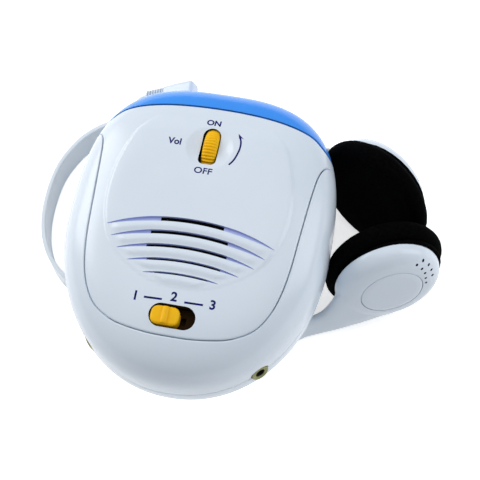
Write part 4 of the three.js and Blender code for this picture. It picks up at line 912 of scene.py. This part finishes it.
def lettering(name, text, size, place, weight, wide):
    """Words made a flat mesh, widened by a factor and set on the front about their middle."""
    words = bpy.data.curves.new("words", "FONT")
    words.body = text
    words.size = size
    words.offset = weight
    words.align_x = "CENTER"
    words.align_y = "CENTER"
    words.resolution_u = 6
    holder = placed("words", words)
    flat = as_shown(holder)
    points = values_of(flat.vertices, "co")[:, :2] * [wide, 1]
    faces = [tuple(polygon.vertices) for polygon in flat.polygons]
    bpy.data.objects.remove(holder)
    bpy.data.curves.remove(words)
    bpy.data.meshes.remove(flat)
    printed(name, points - (points.max(0) + points.min(0)) / 2 + place, faces)


def stroke(line, width):
    """A band of a given width along a flat line."""
    line = np.asarray(line, float)
    points = np.stack([moved_line(line, width / 2), moved_line(line, -width / 2)], 1).reshape(-1, 2)
    return points, faces_of(np.arange(len(points)).reshape(-1, 2))


for name, text, size, place, weight, wide in (
    ("on", "ON", 3.3, [-0.7, 38.05], 0.1, 1.03),
    ("off", "OFF", 3.4, [-0.45, 17.6], 0.06, 1.12),
    ("vol", "Vol", 3.6, [-13.2, 27.9], 0.1, 1),
    ("one", "1", NUMERAL, [-14.2, -32.6], NUMERAL_WEIGHT, 1),
    ("two", "2", NUMERAL, [-0.6, -31.0], NUMERAL_WEIGHT, 1),
    ("three", "3", NUMERAL, [13.2, -31.6], NUMERAL_WEIGHT, 1),
):
    lettering(f"mark_{name}", text, size, place, weight, wide)
for name, start, stop in (("left", [-11.1, -32.75], [-4.7, -32.6]), ("right", [3.3, -32.45], [9.9, -32.25])):
    printed(f"mark_dash_{name}", *stroke(np.linspace(start, stop, 9), DASH_WIDTH))
arc = smoothed([[8.2, 21.5], [9.3, 23.1], [10.1, 25.1], [10.8, 28.4], [10.75, 31], [10.2, 33]])
printed("mark_arrow_arc", *stroke(arc, ARC_WIDTH))
printed("mark_arrow_head", [[9.1, 34.9], [9.75, 32.7], [10.5, 33.2], [11.5, 32.8]], [(0, 1, 2), (0, 2, 3)])

# Back shell
# The lower moulding of the case: a wall that curves in to a flat base, with the battery opening,
# deep holes for the four screws and a round hole for the microphone capsule.
BACK_DEPTH, BACK_FULLNESS, BACK_FLAT = 21, 3.2, 18.5
DOOR_HALF, DOOR_LOW, DOOR_HIGH = 23.85, -42.85, -21.35
SCREWS, SCREW_HOLE = [(24, 49.1), (-24, 49.1), (22, -46.7), (-22, -46.7)], 2.6
BELL_Y, BELL_HOLE = 8, 5.1
BELOW, DOOR_ROOM = -30, (-25, -12)
CENTRE, BASE_EDGE, CURVE_START = 0.02, 0.12, -0.45


def ringed(rings, count=256):
    """A body from rings that share the case's outline, each a share of it at a level, with an inset."""
    c, s = np.cos(circle(count)), np.sin(circle(count))
    rows = []
    for share, level, inset in rings:
        reach = share / share_of(c, s, inset)
        rows.append(np.stack([reach * c, reach * s, np.full(count, level)], 1))
    return np.vstack(rows), tube_faces(len(rows), count)


def hole(radius, sides, x, y, top):
    """A round body for a hole up into the case's base."""
    return turned([[0, BELOW], [radius, BELOW], [radius, top], [0, top]], sides, [x, y, 0])


flat_share = (1 - (BACK_FLAT / BACK_DEPTH) ** BACK_FULLNESS) ** (1 / BACK_FULLNESS)
outer_shares = 1 - (1 - flat_share) * (np.linspace(0, 1, 30) ** 1.6) ** 1.5
outer_levels = -level_of(outer_shares, BACK_DEPTH, BACK_FULLNESS) - SEAM / 2
curved = [(share, level, 0) for share, level in zip(outer_shares, outer_levels)
          if level < CURVE_START]
curved[-1] = (flat_share, -BACK_FLAT + BASE_EDGE, 0)
inner_shares = np.linspace(0.72, 0.999, 12)
inner_levels = -level_of(inner_shares, BACK_DEPTH - WALL, BACK_FULLNESS)
back_body = ringed([
    (CENTRE, -BACK_FLAT + WALL, WALL), (0.7, -BACK_FLAT + WALL, WALL),
    *[(share, level, WALL) for share, level in zip(inner_shares, inner_levels)],
    (1, -SEAM / 2, WALL), (0.9945, -SEAM / 2, 0), (0.9985, -SEAM / 2 - BASE_EDGE, 0), *curved,
    (flat_share - 0.012, -BACK_FLAT, 0), (0.4, -BACK_FLAT, 0), (CENTRE, -BACK_FLAT, 0),
])
back_shell = add_mesh("back_moulding", *back_body, [white, painted_slot_shade], "unit", "white_plastic", CASE,
                      ["back_shell"])
door_outline = [[-DOOR_HALF, DOOR_LOW], [DOOR_HALF, DOOR_LOW], [DOOR_HALF, DOOR_HIGH],
                [-DOOR_HALF, DOOR_HIGH]]
cut_away(back_shell, cutter([
    prism(door_outline, *DOOR_ROOM), hole(BELL_HOLE, 48, 0, BELL_Y, -5),
    *[hole(SCREW_HOLE, 40, x, y, -8) for x, y in SCREWS],
], white))
cut_away(back_shell, socket_holes())

# Battery door
# A white moulded lid that follows the back shell's base and its curve, with rounded edges and five
# grip ribs at the end that lifts.
DOOR_GAP, DOOR_WALL, DOOR_LIP = 0.3, 1.8, 0.5
GRIP_DEPTH, GRIP_PITCH, GRIP_HALF, GRIP_LOW, GRIP_HIGH = 0.45, 1.7, 8, -30.4, -23.2
GRIP_START, GRIP_FADE, GRIP_END_FADE = 0.3, 0.5, 1.2

door_x, door_y = np.meshgrid(np.linspace(-DOOR_HALF + DOOR_GAP, DOOR_HALF - DOOR_GAP, 150),
                             np.linspace(DOOR_LOW + DOOR_GAP, DOOR_HIGH - DOOR_GAP, 130), indexing="ij")
door_edge = np.minimum(DOOR_HALF - DOOR_GAP - np.abs(door_x),
                       np.minimum(door_y - DOOR_LOW, DOOR_HIGH - door_y) - DOOR_GAP)
door_base = np.minimum(level_of(share_of(door_x, door_y), BACK_DEPTH, BACK_FULLNESS) + SEAM / 2, BACK_FLAT)
grips = (eased((GRIP_HALF - np.abs(door_x)) / GRIP_END_FADE)
         * eased((GRIP_HIGH - door_y) / GRIP_FADE) * eased((door_y - GRIP_LOW) / GRIP_FADE))
grip_waves = 0.5 + 0.5 * np.cos((door_y - GRIP_LOW - GRIP_START) * 2 * np.pi / GRIP_PITCH)
door_face = lip(door_edge, DOOR_LIP) + GRIP_DEPTH * grips * (1 - grip_waves) - door_base
door_points = [np.stack([door_x, door_y, z], -1).reshape(-1, 3) for z in (door_face, DOOR_WALL - door_base)]
add_mesh("battery_cover", np.vstack(door_points), shell_faces(*door_x.shape), [white], "door",
         "white_plastic", CASE, ["battery_door"])

# Listening bell
# A flared white moulding that is pressed to the skin: a neck, a wide rim and a hollow with the
# microphone capsule in its throat, closed by a thin dark membrane.
BELL_STEP = 0.7


def turned_ring(loop, sides, place):
    """A closed loop of radius and height, clear of the axis, turned about +Z."""
    loop = np.asarray(loop, float)
    about = circle(sides)
    points = np.stack([loop[:, :1] * np.cos(about), loop[:, :1] * np.sin(about),
                       np.broadcast_to(loop[:, 1:], (len(loop), sides))], -1)
    index = np.arange(len(loop) * sides).reshape(len(loop), sides)
    index = np.vstack([index, index[:1]])
    index = np.hstack([index, index[:, :1]])
    return points.reshape(-1, 3) + np.asarray(place, float), faces_of(index)


bell_loop = np.vstack([
    smoothed([[15, -18.52], [15.8, -21.5], [17.6, -26.5], [21.7, -31.9]], BELL_STEP),
    [[22, -32.6], [22, -34.2], [21.85, -34.6], [21.5, -34.8], [20.8, -34.8], [20.45, -34.6], [20.4, -34.2]],
    smoothed([[20.4, -33.2], [16.4, -30.8], [7.8, -24.5], [6.2, -22.6]], BELL_STEP),
    [[BELL_HOLE, -22.52], [BELL_HOLE, -18.52]],
])
add_mesh("bell_moulding", *turned_ring(bell_loop, 120, [0, BELL_Y, 0]), [white], "unit", "white_plastic",
         CASE, ["listening_bell"], 40)

# Headset plug
# A right-angle plug moulded in white: a blunt head over the socket, an arm that narrows to the left,
# and a strain relief of seven ribs on the cord.
HEAD_HALF, HEAD_THICK, HEAD_CORNER = 3.3, 3.4, 1.3
NECK_RADIUS, NECK_LOW, NECK_HIGH = 2.6, 0.9, 4.6
RELIEF_RIBS, RELIEF_CORE, RIB_OUTER, RIB_SHRINK, RIB_DRIFT = 7, 1.35, 2.85, 0.5, 0.35


def along_run(place, run, sideways, stations, power, count):
    """A body along a direction. Each station is a distance, two half sizes and their two shifts, and
    its section is a superellipse of that power."""
    u, v = squared_circle(circle(count), power)
    run, sideways = unit(run), unit(sideways)
    third = np.cross(run, sideways)
    rows = [place + run * d + np.outer(u * a + shift_a, sideways) + np.outer(v * b + shift_b, third)
            for d, a, b, shift_a, shift_b in stations]
    return np.vstack(rows), tube_faces(len(rows), count)


def rounded_end(half_a, half_b, corner, count):
    """Stations of an end that is rounded over: each half size grows by a quarter circle."""
    a = np.linspace(0, np.pi / 2, count)
    closed = corner * (1 - np.sin(a))
    still = np.zeros(count)
    return np.stack([corner * (1 - np.cos(a)), half_a - closed, half_b - closed, still, still], 1)


plug_side = np.cross(plug_run, plug_axis)
head_narrowing = [
    (d, HEAD_HALF - 0.25 * t, HEAD_THICK - 0.75 * t, 0, 0)
    for d, t in ((2, 0.15), (5, 0.45), (8.6, 0.95), (9.1, 1))
]
head_stations = [*(rounded_end(HEAD_HALF, HEAD_THICK, HEAD_CORNER, 7) - [HEAD_HALF, 0, 0, 0, 0]),
                 *head_narrowing, (9.3, 2.75, 2.35, 0, 0)]
head = along_run(plug_head_place + PLUG_OUT * plug_axis, plug_run, plug_side, head_stations, 4.5, 64)
neck = turned([[0, NECK_LOW], [NECK_RADIUS, NECK_LOW], [NECK_RADIUS, NECK_HIGH], [0, NECK_HIGH]], 48,
              plug_base, plug_axis)
add_mesh("plug_moulding", *several([head, neck]), [white], "unit", "white_plastic", TABLE,
         ["plug_head"], 40)

relief_stations = [(RELIEF_START - 0.3, 2.0, 2.0, 0, -PLUG_OUT)]
for rib in range(RELIEF_RIBS):
    start = RELIEF_START + 0.25 + rib * (RELIEF_LENGTH - 0.6) / RELIEF_RIBS
    wide = RIB_OUTER - RIB_SHRINK * rib / (RELIEF_RIBS - 1)
    out = -PLUG_OUT - RIB_DRIFT * rib / (RELIEF_RIBS - 1)
    relief_stations += [(start + d, half, half, 0, out) for d, half in (
        (0, RELIEF_CORE), (0.06, wide - 0.25), (0.2, wide), (0.55, wide - 0.02), (0.7, wide - 0.3),
        (0.74, RELIEF_CORE),
    )]
relief_stop = RELIEF_START + RELIEF_LENGTH
relief_stations += [(relief_stop - 0.1, RELIEF_CORE, RELIEF_CORE, 0, -PLUG_OUT - RELIEF_DROOP),
                    (relief_stop, 1.2, 1.2, 0, -PLUG_OUT - 0.4)]
add_mesh("strain_relief", *along_run(plug_head_place, plug_run, plug_side, relief_stations, 2.6, 48),
         [jacket], "unit", "white_plastic", TABLE, ["plug_relief"], 40)

# Headband
# A springy white strip on its edge, with a raised rim along both sides of its web, and at each end
# a flat sleeve in which a cup's strip slides. The cord comes out of a gland on the far sleeve.
BAND_Y, ARM_SPREAD, BAND_BACK, BAND_END, SLEEVE = 19, 38.2, -67.4, 14, 32
BAND_WIDTH, BAND_LEVEL = 14, 7
near_y, far_y = BAND_Y - ARM_SPREAD, BAND_Y + ARM_SPREAD


def rounded_bar(start_x, stop_x, y, half_a, half_b, corner=0.9):
    """A straight bar along X at the band's level, with rounded ends and edges."""
    first = rounded_end(half_a, half_b, corner, 6)
    last = first[::-1] * [-1, 1, 1, 1, 1] + [stop_x - start_x, 0, 0, 0, 0]
    return along_run(np.array([start_x, y, BAND_LEVEL]), [1, 0, 0], [0, 1, 0], [*first, *last], 7, 56)


band_line = smoothed(np.array([
    [BAND_END, near_y], [0, near_y], [-18, near_y], [-38, near_y + 0.3], [-50, near_y + 3.2],
    [-58.5, near_y + 9.6], [-64, near_y + 18.2], [BAND_BACK + 0.6, near_y + 28.2], [BAND_BACK, BAND_Y + 1],
    [-66.2, far_y - 26.7], [-62.6, far_y - 17.5], [-57.4, far_y - 10], [-49.6, far_y - 4.2],
    [-38, far_y - 1], [-18, far_y], [0, far_y], [BAND_END, far_y],
]), 0.9)
half_side = np.array([[0.3, 0], [0.62, 0], [0.78, 0.1], [0.85, 0.28], [0.85, 0.75], [0.78, 0.95],
                      [0.66, 1.1], [0.58, 1.4]])
side = np.vstack([half_side, [0, BAND_WIDTH] + half_side[::-1] * [1, -1]])
section = np.vstack([side, (side * [-1, 1])[::-1]])
band_rows = np.stack([moved_line(band_line, distance) for distance in section[:, 0]], 1)
band_levels = np.broadcast_to(section[None, :, 1:], (*band_rows.shape[:2], 1))
band = np.dstack([band_rows, band_levels]).reshape(-1, 3), tube_faces(len(band_line), len(section))
sleeves = [rounded_bar(BAND_END - SLEEVE, BAND_END + 0.4, y, 2.2, 6.35) for y in (near_y, far_y)]
# The band is a lighter copy of the white plastic: painted light, for the light that falls on it.
band_painted_light = surface("band_plastic_painted_light", (0.86, 0.92, 0.97), (0.84, 0.90, 0.955), 0.34, patch=60, bump=0.2)
add_mesh("headband_moulding", *several([band, *sleeves]), [band_painted_light], "unit", "white_plastic", TABLE,
         ["headband"], 40)
gland_profile = [[0, 0.02], [2.4, 0.02], [2.4, 0.9], [2.25, 1.2], [1.95, 1.4], [1.75, 2.4], [1.55, 3.6],
                 [1.4, 4.4], [1.25, 4.6], [0, 4.6]]
add_mesh("cord_outlet", *turned(gland_profile, 48, [end_x, 55, BAND_LEVEL], [0, -1, 0]), [jacket], "unit",
         "white_plastic", TABLE, ["cord_gland"], 40)

# Ear cups
# Each is a white moulded shell whose dome runs out into a flat arm, with a round cap, small vents
# and a black foam pad on its open side. A steel strip carries it and slides in the headband's sleeve.
SHELL_RADIUS, SHELL_DEPTH = 20, 8
CAP_RADIUS, CAP_ROOM = 11.7, 0.22
STRIP_DEPTH, STRIP_HIDDEN = 2.6, 26
SKIN_VOXEL, SKIN_PASSES = 0.42, 10
PAD_RADIUS, PAD_THICK, PAD_BACK = 22.3, 8.2, 1.8
CUP_CLEAR, FOAM_CLEAR = 0.4, 0.06
CELL_WAVES = np.array([[1.9, -0.8, 0.4], [0.7, 2.1, -0.9], [1.1, 0.9, 2.3]])
CELL_SHARE, BULGE_WAY = 0.004, (-0.766, -0.643)
VENT_RADIUS = 0.52
VENTS = [(9.9, 12.6), (12.6, 12.6), (11.7, 9.7), (14.6, 9.5), (12.8, 6.7), (15.5, 6.4), (13.0, 3.6),
         (15.8, 3.2), (13.1, 0.6)]
ARM_STATIONS, ARM_CORNERS = 34, 48


def cup_frame(beyond, y, turn, lean):
    """Axes and middle of a cup, from its turn about the vertical and its lean. It stands as high as
    its pad's radius and thickness ask for at that lean."""
    turn, lean = np.radians([turn, lean])
    outward = np.array([np.cos(turn) * np.cos(lean), np.sin(turn) * np.cos(lean), np.sin(lean)])
    sideways = unit(np.cross([0, 0, 1], outward))
    up = np.cross(outward, sideways)
    rise = PAD_RADIUS * up[2] + (PAD_THICK + PAD_BACK) * max(outward[2], 0) + CUP_CLEAR
    return np.stack([sideways, up, outward]), np.array([HALF_WIDTH + beyond, y, rise])


def arm_loft(side, tail, drop):
    """The arm and its flare: its upper and lower edges close in and its top sinks along its length.
    The edges are running means of five stations, and the sections are superellipses."""
    x = np.linspace(0, tail, ARM_STATIONS)
    flare, fall = 20 + (tail - 20) * np.array([0.28, 0.47, 0.7, 1]), drop + 5.6
    high = np.interp(x, [3, 12, 16, 18.8, 20.5, 22.4, *flare],
                     [12, 11.5, 9, 4.5, 1, -3.4, *(fall - (drop + 9.6) * np.array([0.4, 0.12, -0.02, 0]))])
    low = np.interp(x, [0, 5, 10, 16, 24, tail],
                    [-19, -19.3, *(-20 + (drop + 14.4) * np.array([0.15, 0.5, 0.85, 1]))])
    high, low = (np.convolve(np.pad(edge, 2, mode="edge"), np.ones(5) / 5, "valid") for edge in (high, low))
    top = np.interp(x, [3, 12, 20, 27, tail], [7.4, 6.9, 5.9, 4.9, 4.4])
    u, v = squared_circle(circle(ARM_CORNERS), SQUARENESS)
    y = ((high + low) / 2)[:, None] + np.outer((high - low) / 2, u)
    z = ((top + 0.6) / 2)[:, None] + np.outer((top - 0.6) / 2, v)
    points = np.stack([np.broadcast_to(side * x[:, None], y.shape), y, z], -1)
    return points.reshape(-1, 3), tube_faces(ARM_STATIONS, ARM_CORNERS)


def foam_pad(radius, bulge, axes, middle):
    """A disc of foam: a crowned face, a full round edge and cells that swell it by a product of
    three sines. It bulges on the side towards the case, and lies flat on the table."""
    swell = PAD_THICK * 0.48
    a = np.linspace(-1.35, np.pi / 2, 24)
    edge = np.stack([radius - swell + swell * np.cos(a), PAD_THICK * 0.5 + swell * np.sin(a)], 1)
    face = smoothed([edge[-1], [radius * 0.6, PAD_THICK - 0.02], [radius * 0.3, PAD_THICK - 0.35],
                     [0.6, PAD_THICK - 0.6]], 0.9)[1:]
    profile = np.vstack([[[0, 0.05], [8, 0.05], [radius - swell - 0.6, 0.05]], edge, face,
                         [0, PAD_THICK - 0.6]])
    points, faces = turned(profile, 160)
    lean_in = points[:, :2] @ BULGE_WAY / np.maximum(np.hypot(*points.T[:2]), 1)
    points[:, :2] *= (1 + bulge * np.clip(lean_in, 0, 1) ** 5)[:, None]
    cells = np.sin(points @ CELL_WAVES + [0, 1, 2]).prod(1)
    points = points * (1 + CELL_SHARE * cells[:, None]) * [1, 1, -1] - [0, 0, PAD_BACK]
    points = points @ axes + middle
    points[:, 2] = np.maximum(points[:, 2], FOAM_CLEAR)
    return points, faces


steel = surface("steel", (0.56, 0.58, 0.60), (0.48, 0.50, 0.53), 0.3, patch=300, bump=0.15, Metallic=1)
foam = surface("foam", (0.0022, 0.0022, 0.0025), (0.0008, 0.0008, 0.001), 0.98, patch=900, grain=2600,
               bump=0.6, depth=0.0003, Specular_IOR_Level=0.02)
dome = np.array([
    [0, 0.1], [SHELL_RADIUS - 0.3, 0.1], [SHELL_RADIUS, 0.5], [SHELL_RADIUS, 1.6], [19.75, 2.8],
    [19.2, 4.0], [18.2, 5.3], [16.8, 6.4], [15, 7.2], [13, 7.65], [9, 7.95], [0, SHELL_DEPTH],
])
hollow = np.array([[0, -1], [SHELL_RADIUS - 1.6, -1], [SHELL_RADIUS - 1.6, 1.4], [16, 3.6],
                   [CAP_RADIUS, 5.0], [0, 5.0]])
cap_seat = np.array([[0, 6.5], [CAP_RADIUS + CAP_ROOM, 6.5], [CAP_RADIUS + CAP_ROOM, 12], [0, 12]])
cap = np.array([[0, 6.8], [CAP_RADIUS, 6.8], [CAP_RADIUS, 7.55], [CAP_RADIUS - 0.12, 7.75],
                [CAP_RADIUS - 0.4, 7.88], [9, 8.02], [5, 8.12], [0, 8.18]])
vent = [[0, 3.0], [VENT_RADIUS, 3.0], [VENT_RADIUS, 12], [0, 12]]
# Frame, arm's place, side and length, the dome's shift and flatness, and the pad's radius and bulge
CUPS = {
    "near": (cup_frame(22.1, 3.2, -65, 12), near_y, -1, 38, [-1, 0, 0], 1, 22.1, 0.11),
    "far": (cup_frame(14.3, 39.9, 59.5, -13.5), far_y, 1, 26, [2.0, -1.2, 0], 0.8, 24.2, 0),
}
for name, ((axes, middle), arm_y, side, tail, shift, flatness, pad_radius, bulge) in CUPS.items():
    flat = [1, flatness]
    drop = (BAND_LEVEL - middle[2] - STRIP_DEPTH * axes[2, 2]) / axes[1, 2]
    tip = np.array([side * (tail - 1.6), drop, STRIP_DEPTH]) @ axes + middle
    knuckle = [[tip[0] - 2.2, arm_y], [tip[0] - 0.4, arm_y - 1.6], [tip[0] + 1.6, tip[1] - 1.8],
               [tip[0] + 3, tip[1]], [tip[0] + 1.4, tip[1] + 1.8], [tip[0] - 0.4, arm_y + 1.6]]
    points, faces = several([turned(dome * flat, 96, shift), arm_loft(side, tail, drop)])
    body = f"{name}_cup"
    shell = add_mesh(body, *several([(points @ axes + middle, faces), prism(knuckle, 1.1, 13.0)]),
                     [white, painted_slot_shade], body, "white_plastic", TABLE, [f"{name}_cup_shell"])
    # Dome, arm and knuckle become one skin, which is then eased
    skin = shell.modifiers.new("skin", "REMESH")
    skin.mode = "VOXEL"
    skin.voxel_size = SKIN_VOXEL * MM
    ease = shell.modifiers.new("ease", "SMOOTH")
    ease.factor = 0.5
    ease.iterations = SKIN_PASSES
    openings = [turned(hollow * flat, 64, shift), turned(cap_seat * flat, 96, shift)]
    vents = [turned(vent, 20, [side * (1 - x), y, 0]) for x, y in VENTS]
    # The vents' walls are painted near black as shade.
    for tools, material in ((openings, white), (vents, painted_slot_shade)):
        points, faces = several(tools)
        cut_away(shell, cutter([(points @ axes + middle, faces)], material, TABLE))
    strip = rounded_bar(BAND_END - STRIP_HIDDEN, tip[0], arm_y, 0.5, 4.2, 0.3)
    add_mesh(f"{name}_strip", *strip, [steel], body, "steel")
    points, faces = turned(cap * flat, 96, shift)
    add_mesh(f"{name}_cap", points @ axes + middle, faces, [white], body, "white_plastic", TABLE,
             [f"{name}_cup_cap"], 50)
    pad = add_mesh(f"{name}_foam", *foam_pad(pad_radius, bulge, axes, middle), [foam], body, "foam",
                   TABLE, [f"{name}_pad"], 60)

# Parts inside
# The board, speaker, controls, cells and screws are bought-in parts that hardly show. They keep
# their CAD form and get the finish of what they are, but for the slide switch, which takes the
# slider slot's brown painted shade.
green = surface("board_green", (0.012, 0.13, 0.045), (0.008, 0.10, 0.032), 0.4, patch=500, bump=0.3)
cloth = surface("speaker_cloth", (0.012, 0.012, 0.016), (0.004, 0.004, 0.006), 0.95, patch=3000,
                grain=5000, bump=0.6, depth=0.0002)
INSIDE = {
    green: ["circuit_board", "switch_board"],
    painted_slider_shade: ["slide_switch"],
    black_and_painted_gap_shade: ["amplifier_chip", "volume_pot", "speaker_cone", "bell_diaphragm", "coil_tie"],
    foam: ["near_baffle", "far_baffle"],
    blue: ["filter_capacitor"],
    cloth: ["grille_cloth"],
    khaki: ["plug_pin"],
    steel: ["case_screw_1", "case_screw_2", "case_screw_3", "case_screw_4", "battery_1", "battery_2",
            "contact_plate_left", "contact_plate_right", "microphone_capsule", "speaker_basket",
            "speaker_magnet", "volume_shaft", "near_driver", "far_driver"],
}
for material, parts in INSIDE.items():
    for part in parts:
        for material_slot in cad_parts[part].material_slots:
            material_slot.material = material

# Floor and light
# A pale floor that shows white to the camera and in reflections, a large soft light from the upper
# left and weaker ones from above and the right, in an evenly lit room.
FLOOR_HALF, FLOOR_GLOW = 3.0, 0.62

floor_mesh = bpy.data.meshes.new("floor")
floor_corners = [(x * FLOOR_HALF, y * FLOOR_HALF, 0) for x, y in ((-1, -1), (1, -1), (1, 1), (-1, 1))]
floor_mesh.from_pydata(floor_corners, [], [(0, 1, 2, 3)])
floor = placed("floor", floor_mesh)
floor_white = surface("floor_white", (0.93, 0.93, 0.93), (0.92, 0.92, 0.92), 0.9, patch=2, bump=0.01)
tree = floor_white.node_tree
path = tree.nodes.new("ShaderNodeLightPath")
seen, either = tree.nodes.new("ShaderNodeMath"), tree.nodes.new("ShaderNodeMath")
seen.operation = either.operation = "MAXIMUM"
glow = tree.nodes.new("ShaderNodeEmission")
glow.inputs["Strength"].default_value = FLOOR_GLOW
lit = tree.nodes.new("ShaderNodeAddShader")
choice = tree.nodes.new("ShaderNodeMixShader")
plain = tree.nodes["Principled BSDF"].outputs["BSDF"]
for source, target in (
    (path.outputs["Is Camera Ray"], seen.inputs[0]),
    (path.outputs["Is Glossy Ray"], seen.inputs[1]),
    (seen.outputs[0], either.inputs[0]),
    (path.outputs["Is Transmission Ray"], either.inputs[1]),
    (plain, lit.inputs[0]),
    (glow.outputs["Emission"], lit.inputs[1]),
    (either.outputs[0], choice.inputs["Fac"]),
    (plain, choice.inputs[1]),
    (lit.outputs["Shader"], choice.inputs[2]),
    (choice.outputs["Shader"], tree.nodes["Material Output"].inputs["Surface"]),
):
    tree.links.new(source, target)
floor_mesh.materials.append(floor_white)


def softbox(name, place, target, size, power, color=(1, 1, 1)):
    """A rectangular soft light at a place, turned towards its target."""
    light = bpy.data.lights.new(name, "AREA")
    light.shape = "RECTANGLE"
    light.size, light.size_y = size
    light.energy = power
    light.color = color
    lamp = placed(name, light)
    lamp.location = place
    lamp.rotation_euler = (Vector(target) - Vector(place)).to_track_quat("-Z", "Y").to_euler()


softbox("key", (-1.05, 0.5, 0.62), (0, 0, 0.03), (0.7, 0.9), 9.2)
softbox("top", (0.1, 0.35, 1.3), (0, 0, 0), (1.2, 1.0), 2.6)
softbox("side", (0.9, 0.3, 0.6), (0, 0, 0.03), (0.5, 0.8), 3.6, (0.93, 0.96, 1))
world = bpy.data.worlds.new("studio")
world.use_nodes = True
world.node_tree.nodes["Background"].inputs["Color"].default_value = (0.93, 0.96, 1, 1)
world.node_tree.nodes["Background"].inputs["Strength"].default_value = 0.40
bpy.context.scene.world = world
bpy.context.scene.view_settings.view_transform = "Standard"
